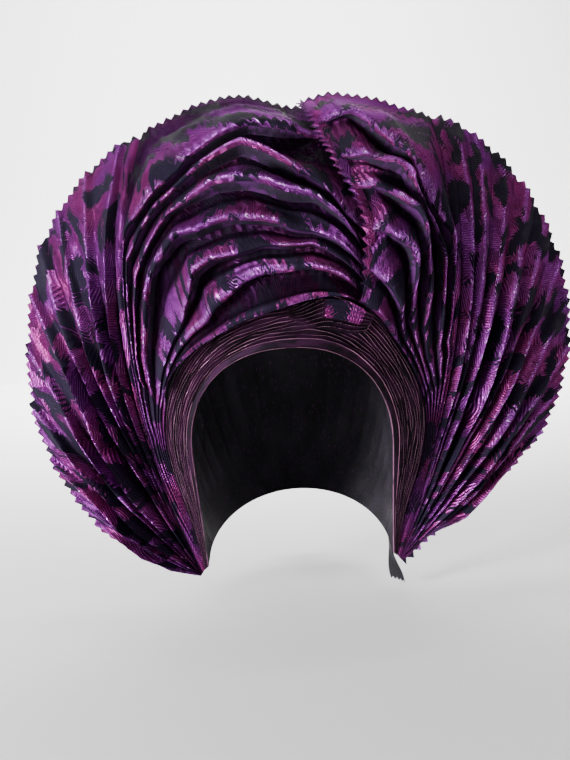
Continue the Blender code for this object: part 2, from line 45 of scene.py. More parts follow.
# Face opening and forehead band, the ring that every front piece starts from
FACE_HALF_WIDTH = 65 * MM
FACE_ARCH_HEIGHT = 73 * MM
ARCH_SQUARENESS = 2.3
HAIRLINE_DROP = 22 * MM
HAIRLINE_FORWARD = 60 * MM
FACE_RAKE = 0.42
PIVOT_DROP = 83 * MM
BAND_WIDTH = 36 * MM
BAND_SIDE_SLOPE = 0.90
BAND_CROWN_SLOPE = 0.15
FACE_CENTRE_Z = -(HAIRLINE_DROP + FACE_ARCH_HEIGHT)
PIVOT_Z = FACE_CENTRE_Z - PIVOT_DROP
PIVOT_ANGLE = float(np.degrees(np.arctan2(PIVOT_DROP, FACE_HALF_WIDTH)))
LEFT_PIVOT = 180 + PIVOT_ANGLE
RIGHT_PIVOT = -PIVOT_ANGLE
BAND_TABLE = (
    # angle, width as a share of BAND_WIDTH
    (RIGHT_PIVOT, 0.12),
    (0, 0.67),
    (45, 0.74),
    (75, 1.00),
    (90, 0.86),
    (130, 0.61),
    (180, 0.47),
    (LEFT_PIVOT, 0.12),
)

# Dish that the fans and the crown's folds lie on
FAN_REACH = 245 * MM
RIM_BACK = 12 * MM
RIM_LEAN = 0.148
CROWN_PUFF = 28 * MM
SIDE_PUFF = 4 * MM
PUFF_SPAN = 150 * MM
PIVOT_GATHER = 6 * MM
SLOPE_ANGLE_STEP = 2.5
SLOPE_REACH_STEP = 0.06
RIM_TABLE = (
    # angle, reach as a share of FAN_REACH
    (-38, 0.470),
    (-20, 0.563),
    (0, 0.735),
    (20, 0.869),
    (40, 0.967),
    (55, 1.008),
    (70, 0.992),
    (80, 0.967),
    (84, 0.943),
    (95, 0.984),
    (110, 0.967),
    (120, 0.959),
    (130, 0.931),
    (140, 0.886),
    (150, 0.829),
    (170, 0.739),
    (190, 0.645),
    (212, 0.555),
)

HEAD_CENTRE = np.array([0, 18, -97]) * MM
HEAD_AXES = np.array([71, 92, 97]) * MM
HEAD_SQUARENESS = 2.3
CAP_WALL = 2.0 * MM
CAP_EDGE_INSET = 3 * MM
CAP_EDGE_REACH = -0.4
BEHIND_BAND = 1.3 * MM
NAPE_HALF_WIDTH = 64 * MM
NAPE_DEPTH = 76 * MM
NAPE_START_BACK = 14 * MM
NAPE_RISE = 28 * MM
# Middle point of the cap's bend over the head, in half sizes of the head
CAP_BEND_SIDE = 1.25
CAP_BEND_BACK = 0.3
CAP_BEND_LOW = -0.85
CAP_BEND_RISE = 2.4
# Gathers above the nape, and where they begin and end on the way down
CAP_FOLDS = 26
CAP_FOLD_DEPTH = 2.2 * MM
CAP_FOLD_SWAY = 0.8
CAP_FOLD_SPAN = (0.25, 0.85)
CAP_FLAT_HEM_SPAN = (0.86, 0.90)
CAP_SOFTNESS = 0.5 * MM
CAP_SHOWN_SHARE = 0.6
SHARP_EDGE_ANGLE = 70


def smooth_curve(x, table):
    """Smooth curve through a table of (place, value) rows."""
    place, value = np.array(sorted(table), float).T
    slope = np.gradient(value, place)
    i = np.clip(np.searchsorted(place, x, side="right") - 1, 0, len(place) - 2)
    span = place[i + 1] - place[i]
    t = np.clip((x - place[i]) / span, 0, 1)
    start = value[i] * (2 * t**3 - 3 * t**2 + 1) + slope[i] * span * (t**3 - 2 * t**2 + t)
    end = value[i + 1] * (3 * t**2 - 2 * t**3) + slope[i + 1] * span * (t**3 - t**2)
    return start + end


def fade(x, start, end):
    """Zero before start, one after end, and a smooth step between them."""
    t = np.clip((x - start) / (end - start), 0, 1)
    return t * t * (3 - 2 * t)


def unit(vectors):
    """The same vectors with a length of one."""
    return vectors / np.maximum(np.linalg.norm(vectors, axis=-1, keepdims=True), 1e-12)


def face_radius(angle):
    """Distance from the centre of the face to its edge, a squarish arch."""
    across = np.abs(np.cos(np.radians(angle))) / FACE_HALF_WIDTH
    up = np.clip(np.sin(np.radians(angle)), 0, None) / FACE_ARCH_HEIGHT
    return (across**ARCH_SQUARENESS + up**ARCH_SQUARENESS) ** (-1 / ARCH_SQUARENESS)


def band_radius(angle):
    """Distance from the centre of the face to the band's outer edge."""
    return face_radius(angle) + BAND_WIDTH * smooth_curve(angle, BAND_TABLE)


PIVOT_ROWS = tuple(
    (pivot, float((band_radius(pivot) + PIVOT_GATHER) / FAN_REACH)) for pivot in (LEFT_PIVOT, RIGHT_PIVOT))


def rim_radius(angle):
    """Distance from the centre of the face to the rim."""
    return FAN_REACH * smooth_curve(angle, RIM_TABLE + PIVOT_ROWS)


def dish_depth(angle):
    """Distance from the band's outer edge to the rim."""
    return rim_radius(angle) - band_radius(angle)


def dish(angle, reach):
    """Point of the dish: x and z run out from the face's centre, y leans back.

    Reach -1 is the edge of the face, 0 the band's outer edge, 1 the rim.
    """
    angle, reach = np.broadcast_arrays(np.asarray(angle, float), np.asarray(reach, float))
    face, band, rim = face_radius(angle), band_radius(angle), rim_radius(angle)
    out = np.clip(reach, 0, None)
    radius = band + np.where(reach < 0, reach * (band - face), reach * (rim - band))
    up = np.sin(np.radians(angle))
    slope = BAND_SIDE_SLOPE + (BAND_CROWN_SLOPE - BAND_SIDE_SLOPE) * np.clip(up, 0, 1)
    face_y = -HAIRLINE_FORWARD - FACE_RAKE * (HAIRLINE_DROP + FACE_CENTRE_Z + face * up)
    band_y = face_y + slope * (band - face)
    rim_y = RIM_BACK + RIM_LEAN * (FACE_CENTRE_Z + rim * up - PIVOT_Z)
    puff = SIDE_PUFF + CROWN_PUFF * np.clip(up, 0, 1) ** 2
    puff = puff * 4 * out * (1 - out) * (rim - band) / PUFF_SPAN
    y = np.where(reach < 0, face_y + slope * (radius - face), band_y + (rim_y - band_y) * out - puff)
    x = radius * np.cos(np.radians(angle))
    return np.stack([x, y, FACE_CENTRE_Z + radius * up], axis=-1)


def dish_normal(angle, reach):
    """Forward normal of the dish: the cross product of its two slopes."""
    angle, reach = np.broadcast_arrays(np.asarray(angle, float), np.asarray(reach, float))
    round_face = dish(angle + SLOPE_ANGLE_STEP, reach) - dish(angle - SLOPE_ANGLE_STEP, reach)
    outwards = dish(angle, reach + SLOPE_REACH_STEP) - dish(angle, reach - SLOPE_REACH_STEP)
    return unit(np.cross(outwards, round_face))


def on_head(direction, offset):
    """Point of the head's rounded form, a squarish ellipsoid grown by offset."""
    scaled = np.abs(direction) ** HEAD_SQUARENESS
    size = scaled.sum(axis=-1, keepdims=True) ** (-1 / HEAD_SQUARENESS)
    return HEAD_CENTRE + direction * size * (HEAD_AXES + offset)


def cap_point(across, down, offset):
    """Point of the cap: a bend over the head from the band to the nape hem."""
    across, down = np.broadcast_arrays(np.asarray(across, float), np.asarray(down, float))
    angle = LEFT_PIVOT + (RIGHT_PIVOT - LEFT_PIVOT) * across
    inset = np.minimum(-1 + CAP_EDGE_INSET / (band_radius(angle) - face_radius(angle)), CAP_EDGE_REACH)
    behind = BEHIND_BAND + CAP_WALL - offset
    front = dish(angle, inset) - dish_normal(angle, inset) * behind[..., None]
    turn = np.pi * across
    width = NAPE_HALF_WIDTH + offset
    nape = np.stack([
        -width * np.cos(turn),
        dish(LEFT_PIVOT, -1.0)[1] + NAPE_START_BACK + (NAPE_DEPTH + offset) * np.sin(turn),
        PIVOT_Z + NAPE_RISE * np.sin(turn),
    ], axis=-1)
    top = np.stack([
        -CAP_BEND_SIDE * np.cos(turn),
        CAP_BEND_BACK * np.sin(turn),
        CAP_BEND_LOW + CAP_BEND_RISE * np.sin(turn),
    ], axis=-1)
    to_front = (front - HEAD_CENTRE) / HEAD_AXES
    to_nape = (nape - HEAD_CENTRE) / HEAD_AXES
    v = down[..., None]
    direction = (1 - v) ** 2 * to_front + 2 * v * (1 - v) * top + v**2 * to_nape
    point = on_head(direction, offset)
    point = point + (front - on_head(to_front, offset)) * (1 - v) ** 3
    return point + (nape - on_head(to_nape, offset)) * v**3


def cloth_wall(name, front, back, cloth, crest):
    """Closed thin wall between two grids of points, front and back.

    The faces are the front grid, the back grid turned round, and a strip
    along each of the four edges. The cloth attribute holds the place on the
    flat cloth in metres and, third, 1 on the back. Crest is 1 on fold tops
    and negative in deep valleys; the materials paint highlights and shade
    from it.
    """
    rows, columns = front.shape[:2]
    count = rows * columns
    grid = np.arange(count).reshape(rows, columns)
    a, b, c, d = grid[:-1, :-1], grid[:-1, 1:], grid[1:, 1:], grid[1:, :-1]
    quads = np.stack([a, b, c, d], axis=-1).reshape(-1, 4)
    edge = np.concatenate([grid[0, :-1], grid[:-1, -1], grid[-1, :0:-1], grid[:0:-1, 0]])
    after = np.roll(edge, -1)
    strip = np.stack([after, edge, edge + count, after + count], axis=-1)
    faces = np.concatenate([quads, quads[:, ::-1] + count, strip])
    points = np.concatenate([front.reshape(-1, 3), back.reshape(-1, 3)])
    p = points[faces]
    volume = np.einsum("ij,ij->", np.cross(p[:, 1] - p[:, 0], p[:, 3] - p[:, 0]), p.mean(axis=1))
    if volume < 0:
        faces = faces[:, ::-1]
    mesh = bpy.data.meshes.new(name)
    mesh.vertices.add(len(points))
    mesh.vertices.foreach_set("co", points.ravel())
    mesh.loops.add(faces.size)
    mesh.loops.foreach_set("vertex_index", faces.ravel().astype(np.int32))
    mesh.polygons.add(len(faces))
    mesh.polygons.foreach_set("loop_start", np.arange(0, faces.size, 4, dtype=np.int32))
    mesh.update(calc_edges=True)
    mesh.validate()
    side = np.repeat([0.0, 1.0], count)
    place = np.column_stack([np.tile(cloth.reshape(-1, 2), (2, 1)), side])
    mesh.attributes.new("cloth", "FLOAT_VECTOR", "POINT").data.foreach_set("vector", place.ravel())
    tops = np.tile(np.broadcast_to(crest, (rows, columns)).ravel(), 2)
    mesh.attributes.new("crest", "FLOAT", "POINT").data.foreach_set("value", tops)
    mesh.shade_smooth()
    mesh.set_sharp_from_angle(angle=np.radians(SHARP_EDGE_ANGLE))
    piece = bpy.data.objects.new(name, mesh)
    bpy.context.scene.collection.objects.link(piece)
    return piece


def surface_area(front):
    """Area of a grid of points, from the two halves of each of its faces."""
    a, b, c, d = front[:-1, :-1], front[:-1, 1:], front[1:, 1:], front[1:, :-1]
    halves = [np.linalg.norm(np.cross(b - corner, d - corner), axis=-1) for corner in (a, c)]
    return float((halves[0] + halves[1]).sum() / 2)


class Value:
    """One value of a material: + - * / ** and comparisons add Math nodes."""

    def __init__(self, paint, socket):
        self.paint, self.socket = paint, socket

    def math(self, operation, *values):
        return self.paint.node("Math", {"operation": operation}, dict(enumerate(values)))["Value"]

    def __add__(self, other):
        return self.math("ADD", self, other)

    def __radd__(self, other):
        return self.math("ADD", other, self)

    def __sub__(self, other):
        return self.math("SUBTRACT", self, other)

    def __rsub__(self, other):
        return self.math("SUBTRACT", other, self)

    def __mul__(self, other):
        return self.math("MULTIPLY", self, other)

    def __rmul__(self, other):
        return self.math("MULTIPLY", other, self)

    def __truediv__(self, other):
        return self.math("DIVIDE", self, other)

    def __pow__(self, other):
        return self.math("POWER", self, other)

    def __gt__(self, other):
        return self.math("GREATER_THAN", self, other)

    def sine(self):
        return self.math("SINE", self)

    def absolute(self):
        return self.math("ABSOLUTE", self)

    def step(self, start, end):
        """Smooth step from 0 at start to 1 at end."""
        inputs = {"Value": self, "From Min": start, "From Max": end}
        return self.paint.node("MapRange", {"interpolation_type": "SMOOTHSTEP"}, inputs)["Result"]


class Paint:
    """The node tree of one material and its main shader."""

    def __init__(self, name):
        self.material = bpy.data.materials.new(name)
        self.material.use_nodes = True
        self.tree = self.material.node_tree
        self.shader = self.tree.nodes["Principled BSDF"]

    def set(self, socket, value):
        """Links a value to a socket, or sets the socket to a plain number."""
        if isinstance(value, Value):
            self.tree.links.new(value.socket, socket)
        else:
            socket.default_value = value

    def node(self, kind, settings, inputs):
        """Adds a node: its settings first, then its inputs by name or number."""
        made = self.tree.nodes.new("ShaderNode" + kind)
        for name, value in settings.items():
            setattr(made, name, value)
        for name, value in inputs.items():
            self.set(made.inputs[name], value)
        return {o.name: Value(self, o) for o in reversed(made.outputs) if o.enabled}

    def surface(self, name, value):
        """Sets an input of the main shader."""
        self.set(self.shader.inputs[name], value)

    def bump(self, height, strength, distance):
        """Gives the main shader the relief of a height."""
        inputs = {"Height": height, "Strength": strength, "Distance": distance}
        self.surface("Normal", self.node("Bump", {}, inputs)["Normal"])

    def vector(self, operation, *values):
        """Vector Math of up to three vectors: all outputs that it has."""
        return self.node("VectorMath", {"operation": operation}, dict(enumerate(values)))

    def mix(self, share, first, second):
        """Colour between two colours."""
        inputs = {"Factor": share, 6: first, 7: second}
        return self.node("Mix", {"data_type": "RGBA"}, inputs)["Result"]

    def noise(self, place, scale, detail):
        """Soft noise of a given scale at a place."""
        return self.node("TexNoise", {}, {"Vector": place, "Scale": scale, "Detail": detail})

    def cloth(self):
        """Place on the flat cloth in millimetres, and 1 on its back."""
        place = self.node("Attribute", {"attribute_name": "cloth"}, {})["Vector"]
        part = self.node("SeparateXYZ", {}, {"Vector": place})
        u, v = part["X"] * 1000, part["Y"] * 1000
        flat = self.node("CombineXYZ", {}, {"X": u, "Y": v, "Z": 0.0})["Vector"]
        return flat, u, v, part["Z"]


def black_cloth():
    """Matt black back of the brocade: a fine plain weave, a little dusty.

    Threads cross every 0.8 mm. A few metallic floats show through as specks.
    """
    paint = Paint("black_lining_cloth")
    flat, u, v, _ = paint.cloth()
    weave = (u * 7.8).sine() * (v * 7.8).sine()
    dust = paint.noise(flat, 0.035, 3.0)["Fac"]
    speck = paint.node("TexVoronoi", {}, {"Vector": flat, "Scale": 0.9})
    float_share = (paint.node("SeparateColor", {}, {"Color": speck["Color"]})["Red"] > 0.93) * 0.5
    black = paint.mix(dust.step(0.35, 0.75), (0.005, 0.0045, 0.006, 1), (0.014, 0.012, 0.016, 1))
    paint.surface("Base Color", paint.mix(float_share, black, (0.05, 0.015, 0.06, 1)))
    paint.surface("Roughness", 0.72 - 0.18 * dust)
    paint.surface("Specular IOR Level", 0.15)
    paint.bump(weave * 0.5 + dust * 2.0, 0.5, 0.0004)
    return paint.material


BLACK_CLOTH = black_cloth()

across = np.linspace(0, 1, 241)[None, :]
down = np.linspace(0, 1, 141)[:, None]
outer = cap_point(across, down, np.array(CAP_WALL))
inner = cap_point(across, down, np.array(0.0))
outward = unit(outer - inner)
sway = CAP_FOLD_SWAY * np.sin(5 * across + 3 * down)
gather = np.abs(np.sin(np.pi * CAP_FOLDS * across + sway)) ** 0.7
depth = CAP_FOLD_DEPTH * fade(down, *CAP_FOLD_SPAN) * (1 - fade(down, *CAP_FLAT_HEM_SPAN))
depth = depth * np.sin(np.pi * across) ** 0.5
soft = CAP_SOFTNESS * np.sin(9 * across + 4 * down) * np.sin(3 + 7 * down)
soft = soft * fade(down, 0, 0.2) * (1 - fade(down, 0.8, 0.9))
outer = outer + outward * ((gather - 1) * depth * 0.5 + soft)[..., None]
inner = outer - outward * CAP_WALL * CAP_SHOWN_SHARE
cloth = np.stack(np.broadcast_arrays(across * 0.42, down * 0.25), axis=-1)
cap = cloth_wall("cap_over_the_head", outer, inner, cloth, 0.0)
cap.data.materials.append(BLACK_CLOTH)
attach(cap, "root")
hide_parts("head_cap")
surface_area(outer)


# Forehead band: one edge of the cloth pressed into a dozen knife pleats that
# lap over each other like shingles round the face, with a plain hem next to
# the skin. The metallic thread on each pleat's edge and on the hem's lip is
# painted as a bright pink line, a painted highlight where the folded edge
# catches the light.

BAND_PLEATS = 12
BAND_HEM_SHARE = 0.17
BAND_PLEAT_DEPTH = 2.0 * MM
BAND_WALL = 1.2 * MM
THINNEST_WALL = 0.35
# Plain hem: its height and its lip's, as shares of a pleat's depth
BAND_HEM_HEIGHT = 0.55
BAND_LIP_HEIGHT = 0.25
BAND_LIP_SHARE = 0.02
# Strip past the outer edge, which goes in behind the folds: its two rows
BEHIND_FOLDS = 7 * MM
STRIP_SHARES = (0.35, 1.0)
STRIP_HEIGHTS_MM = (-3.6, -5.0)
STRIP_CLOTH_SHARES = (1.05, 1.15)
PLEAT_PROFILE = (
    # share_of_pleat, height
    (0.00, 1.00),
    (0.05, 0.92),
    (0.12, 0.05),
    (0.30, 0.00),
    (0.65, 0.38),
    (0.90, 0.86),
    (1.00, 1.00),
)


def ripple(a, b, waves):
    """Sum of sine waves over two directions, each with its own phase."""
    return sum(size * np.sin(fa * a + fb * b + phase) for size, fa, fb, phase in waves)


def dish_sheet(angle, reach, height, wall):
    """Front and back of a sheet raised by height above the dish.

    The wall thins with the lean of the sheet, down to THINNEST_WALL of it.
    """
    normal = dish_normal(angle, reach)
    front = dish(angle, reach) + normal * height[..., None]
    slope = unit(np.cross(np.gradient(front, axis=0), np.gradient(front, axis=1)))
    slope = slope * np.sign(np.sum(slope * normal, axis=-1, keepdims=True) + 1e-9)
    lean = np.clip(np.sum(slope * normal, axis=-1, keepdims=True), THINNEST_WALL, 1)
    back = front - normal * (wall * lean)
    return front, back


VIOLET_SHEEN = (0.52, 0.28, 0.56, 1)


def pleated_band_colour():
    """Dark purple brocade seen edge on, with a pink line of metallic thread on each pleat's edge,
    brightened as a painted highlight.
    """
    paint = Paint("dark_brocade")
    flat, u, _, back = paint.cloth()
    crest = paint.node("Attribute", {"attribute_name": "crest"}, {})["Fac"]
    along = paint.vector("MULTIPLY", flat, (0.05, 0.9, 0.0))["Vector"]
    run = paint.noise(along, 1.0, 3.0)["Fac"]
    blot = paint.noise(flat, 0.045, 2.0)["Fac"].step(0.42, 0.60)
    base = paint.mix(blot, (0.004, 0.003, 0.004, 1), (0.017, 0.005, 0.015, 1))
    # Painted highlight: a bright pink metallic line where the crest attribute marks the pleat edges and
    # the hem's lip.
    thread = crest.step(0.45, 0.90) * run.step(0.36, 0.52)
    colour = paint.mix(thread * 0.9, base, (0.60, 0.27, 0.44, 1))
    colour = paint.mix(back, colour, (0.012, 0.010, 0.014, 1))
    paint.surface("Base Color", colour)
    paint.surface("Metallic", 0.35 + 0.45 * thread)
    paint.surface("Roughness", 0.46 - 0.14 * thread)
    paint.surface("Specular IOR Level", 0.12)
    paint.surface("Specular Tint", VIOLET_SHEEN)
    paint.bump((u * 7.0).sine() * 0.25 + run * 1.2, 0.6, 0.0003)
    return paint.material


DARK_BROCADE = pleated_band_colour()

pleat_step = np.array([0.0, 0.05, 0.12, 0.16, 0.30, 0.50, 0.72, 0.92])
pleat_rows = (np.arange(BAND_PLEATS)[:, None] + pleat_step).ravel()
pleat_share = 1 - BAND_HEM_SHARE
hem_rows = np.linspace(0, BAND_HEM_SHARE, 10)[:-1]
row_reach = np.concatenate([hem_rows, BAND_HEM_SHARE + pleat_share * pleat_rows / BAND_PLEATS, [1.0]])
row_height = np.concatenate([
    BAND_HEM_HEIGHT + BAND_LIP_HEIGHT * np.exp(-((hem_rows / BAND_LIP_SHARE) ** 2)),
    smooth_curve(pleat_rows % 1.0, PLEAT_PROFILE),
    [0.3],
])
# Crest marks the pleat edges and, fading, the hem's lip: the band's colour paints its highlight line
# there.
on_fold = (pleat_rows % 1.0 < 0.13) * 1.0
row_crest = np.concatenate([np.exp(-((hem_rows / 0.012) ** 2)) * 0.8, on_fold, [0.0]])
angle = np.linspace(LEFT_PIVOT, RIGHT_PIVOT, 520)[None, :]
share = row_reach[:, None]
wander = ripple(np.radians(angle), share, (
    (0.012, 7, 9, 0.4), (0.009, 13, -14, 1.9), (0.006, 23, 31, 4.0), (0.004, 41, 17, 2.2)))
wander = wander * fade(share, 0.1, 0.3) * (1 - fade(share, 0.85, 1.0))
reach = share - 1 + wander
width = (band_radius(angle) - face_radius(angle)) / BAND_WIDTH
life = 0.75 + ripple(np.radians(angle), share * 12, ((0.2, 5, 2.1, 1.0), (0.15, 11, 3.3, 5.0)))
height = row_height[:, None] * BAND_PLEAT_DEPTH * np.clip(width * 1.3, 0, 1)
height = height * np.where(share > BAND_HEM_SHARE, life, 1)
beyond = BEHIND_FOLDS * fade(np.minimum(angle - RIGHT_PIVOT, LEFT_PIVOT - angle), 4, 30)
strip = np.array(STRIP_SHARES)[:, None] * beyond / dish_depth(angle)
strip_height = np.array(STRIP_HEIGHTS_MM)[:, None] * MM * np.clip(beyond / BEHIND_FOLDS, 0.1, 1)
reach = np.vstack([reach, strip + 0.0005])
height = np.vstack([height, strip_height])
share = np.vstack([share, np.array(STRIP_CLOTH_SHARES)[:, None]])
row_crest = np.concatenate([row_crest, [0.0, 0.0]])
front, back = dish_sheet(angle + 0 * reach, reach, height, BAND_WALL)
cloth = np.stack(np.broadcast_arrays(np.radians(angle) * 0.085, share * 0.09), axis=-1)
band = cloth_wall("forehead_band", front, back, cloth, row_crest[:, None])
band.data.materials.append(DARK_BROCADE)
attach(band, "root")
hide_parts("pleat_band")


# Fans: the width of the cloth gathered by hand into rolled pleats that all
# start at a pin below each temple and open out to the pinked rim. Near the
# rim the stiff cloth flattens into broad panels with small creases.

CLOTH_WALL = 0.9 * MM
FAN_FOLD_DEPTH = 13 * MM
FAN_STEEPNESS = 0.95
FAN_PIVOT_SHARE = 0.45
VALLEY_DROP = 4.5 * MM
RIM_FLATTENING = 0.84
FLATTENING_SPAN = (0.40, 1.02)
TOOTH_PITCH = 6.9 * MM
TOOTH_DEPTH = 4.3 * MM
SAMPLES_A_TOOTH = 4
FAN_STEPS = 120
FAN_RIM_SAMPLES = 1200
SIDE_STEPS = 110
STEP_EASE = 0.85
TRIM_SHARE = 0.2
REACH_INSIDE_TEETH = 0.992
EDGE_CLEARANCE = 0.5 * MM
# Strip past a fan's last row, which goes in under the neighbouring sheet
SEAM_WIDTH = 6 * MM
SEAM_DROP = 4 * MM
SEAM_EDGE_DROP = 5.2 * MM
SEAM_AT_PIVOT = 0.06
SEAM_SPAN = (0.08, 0.4)
SEAM_ROWS = 0.4
SEAM_REACH = 0.985
LEFT_FAN_TABLE = (
    # rim_angle, bow, crest height share
    (212, 0.00, 0.35),
    (200, 0.00, 0.90),
    (191, 0.00, 0.55),
    (182, 0.00, 1.10),
    (169, 0.00, 1.15),
    (157, 0.00, 0.90),
    (147, 0.00, 1.25),
    (138, 0.00, 1.35),
    (132, 0.012, 0.75),
    (124, 0.035, 0.90),
    (116, 0.06, 1.10),
    (112, 0.067, 0.00),
)
RIGHT_FAN_TABLE = (
    # rim_angle, bow, crest height share
    (-21, 0.00, 0.35),
    (-12, 0.00, 0.75),
    (-3, 0.00, 0.90),
    (6, 0.00, 0.60),
    (14, 0.00, 0.95),
    (22, 0.00, 0.80),
    (29, 0.00, 1.05),
    (36, 0.01, 0.80),
    (42, 0.022, 1.10),
    (48, 0.022, 0.85),
    (54, 0.035, 0.70),
    (58, 0.045, 1.00),
    (62, 0.05, 0.00),
)
# Cross-section of a creased fold: a steep drop past the crest, then a panel
CREASE_PROFILE = (
    # share_of_fold, height
    (0.00, 1.00),
    (0.04, 0.88),
    (0.10, 0.36),
    (0.15, 0.05),
    (0.20, 0.00),
    (0.30, 0.12),
    (0.48, 0.34),
    (0.66, 0.55),
    (0.82, 0.76),
    (0.93, 0.93),
    (1.00, 1.00),
)
# Cross-section of a rolled pleat, from one crest to the next
ROLL_PROFILE = (
    # share_of_fold, height
    (0.00, 1.00),
    (0.08, 0.95),
    (0.20, 0.72),
    (0.30, 0.28),
    (0.37, 0.00),
    (0.44, 0.02),
    (0.54, 0.34),
    (0.70, 0.70),
    (0.88, 0.91),
    (1.00, 1.00),
)


def chart_place(x, z):
    """Angle and reach of a point that is seen from the front at x, z."""
    angle = np.degrees(np.arctan2(z - FACE_CENTRE_Z, x))
    angle = np.where(angle < -90, angle + 360, angle)
    band, rim = band_radius(angle), rim_radius(angle)
    return angle, (np.hypot(x, z - FACE_CENTRE_Z) - band) / (rim - band)


def fan_lines(table, rows, along, pivot, outward, inset=0.0):
    """Angle and reach along the folds of a fan, at fractional table rows.

    Each fold is a quadratic curve in the x, z plane from a point near the
    pivot to its place on the rim, bowed to its outward side.
    """
    last = len(table) - 1
    rim_angle, bow = [np.interp(rows, range(last + 1), column) for column in np.array(table, float).T[:2]]
    start = dish(pivot + 0 * rows, 1 - FAN_PIVOT_SHARE * rows / last)[..., [0, 2]][:, None]
    end = dish(rim_angle, 1.0 + 0 * rows)[..., [0, 2]][:, None]
    step = end - start
    side = np.stack([-step[..., 1], step[..., 0]], axis=-1) * outward
    control = (start + end) / 2 + 2 * bow[:, None, None] * side
    t = along[None, :, None]
    line = (1 - t) ** 2 * start + 2 * t * (1 - t) * control + t**2 * end
    heading = unit(np.gradient(line, axis=1))
    line = line + inset * outward * np.stack([heading[..., 1], -heading[..., 0]], axis=-1)
    angle, reach = chart_place(line[..., 0], line[..., 1])
    return angle, np.minimum(reach, 1.0)


def edge_reach(angle):
    """Reach that stands just clear of the band's outer edge."""
    return EDGE_CLEARANCE / dish_depth(angle)


def arc_length(points):
    """Distance travelled along a line of points."""
    steps = np.linalg.norm(np.diff(points, axis=0), axis=-1)
    return np.concatenate([[0], np.cumsum(steps)])


def distance_over(points, axis):
    """Distance travelled over a grid of points along one of its axes."""
    steps = np.cumsum(np.linalg.norm(np.diff(points, axis=axis), axis=-1), axis=axis)
    return np.concatenate([np.zeros_like(np.take(steps, [0], axis)), steps], axis=axis)


def teeth(steps):
    """Zigzag of the pinking shears: 1 at a tooth's tip, 0 between two.

    SAMPLES_A_TOOTH steps go to one tooth.
    """
    return np.abs(2 * ((steps / SAMPLES_A_TOOTH) % 1.0) - 1)


LOW_PART_OF_FOLD = 0.45
FLAT_BELOW = 1.6 * MM


def fold_light(profile, depth, deep):
    """Painted light on a fold: 1 on its top for a painted highlight, -1 at the bottom of a deep one for
    painted shade, 0 where flat.
    """
    profile = np.clip(profile, 0, 1)
    low = np.clip(1 - profile / LOW_PART_OF_FOLD, 0, 1) * deep
    return (profile**3 - low) * np.clip(depth / FLAT_BELOW, 0, 1)


CRUMPLES = (
    # height, length, turn, phase
    (0.9, 31, 0.5, 0.3),
    (0.8, 23, 1.9, 2.0),
    (0.55, 15, 1.1, 4.1),
    (0.45, 11, 2.7, 1.2),
    (0.3, 7, 0.2, 3.0),
)


def crumple(p, strength):
    """Small creases of stiff cloth: ridged waves bent by slower waves.

    Each wave is 1 - |sin| of a place turned to its own direction, so that it
    has a sharp crest, and a slow wave fades it in and out in patches.
    """
    x, z = p[..., 0] / MM, p[..., 2] / MM
    total = 0
    for size, length, turn, phase in CRUMPLES:
        bend = 5 * np.sin(x / 19 + phase) + 4 * np.sin(z / 16 + 2 * phase)
        place = (x * np.cos(turn) + z * np.sin(turn) + bend) / length
        patch = 0.5 + 0.5 * np.sin(x / 27 + z / 33 + 3 * phase)
        total = total + size * patch * (1 - np.abs(np.sin(np.pi * place + phase))) ** 1.6
    return total * MM * strength


def spread_crests(crest_point):
    """Room at each crest of a grid: the lesser distance to its two neighbours."""
    gap = np.linalg.norm(np.diff(crest_point, axis=0), axis=-1)
    return np.minimum(np.concatenate([gap[:1], gap]), np.concatenate([gap, gap[-1:]]))


BARB_PITCH = 3.8
FACET_HEIGHT = 2.6


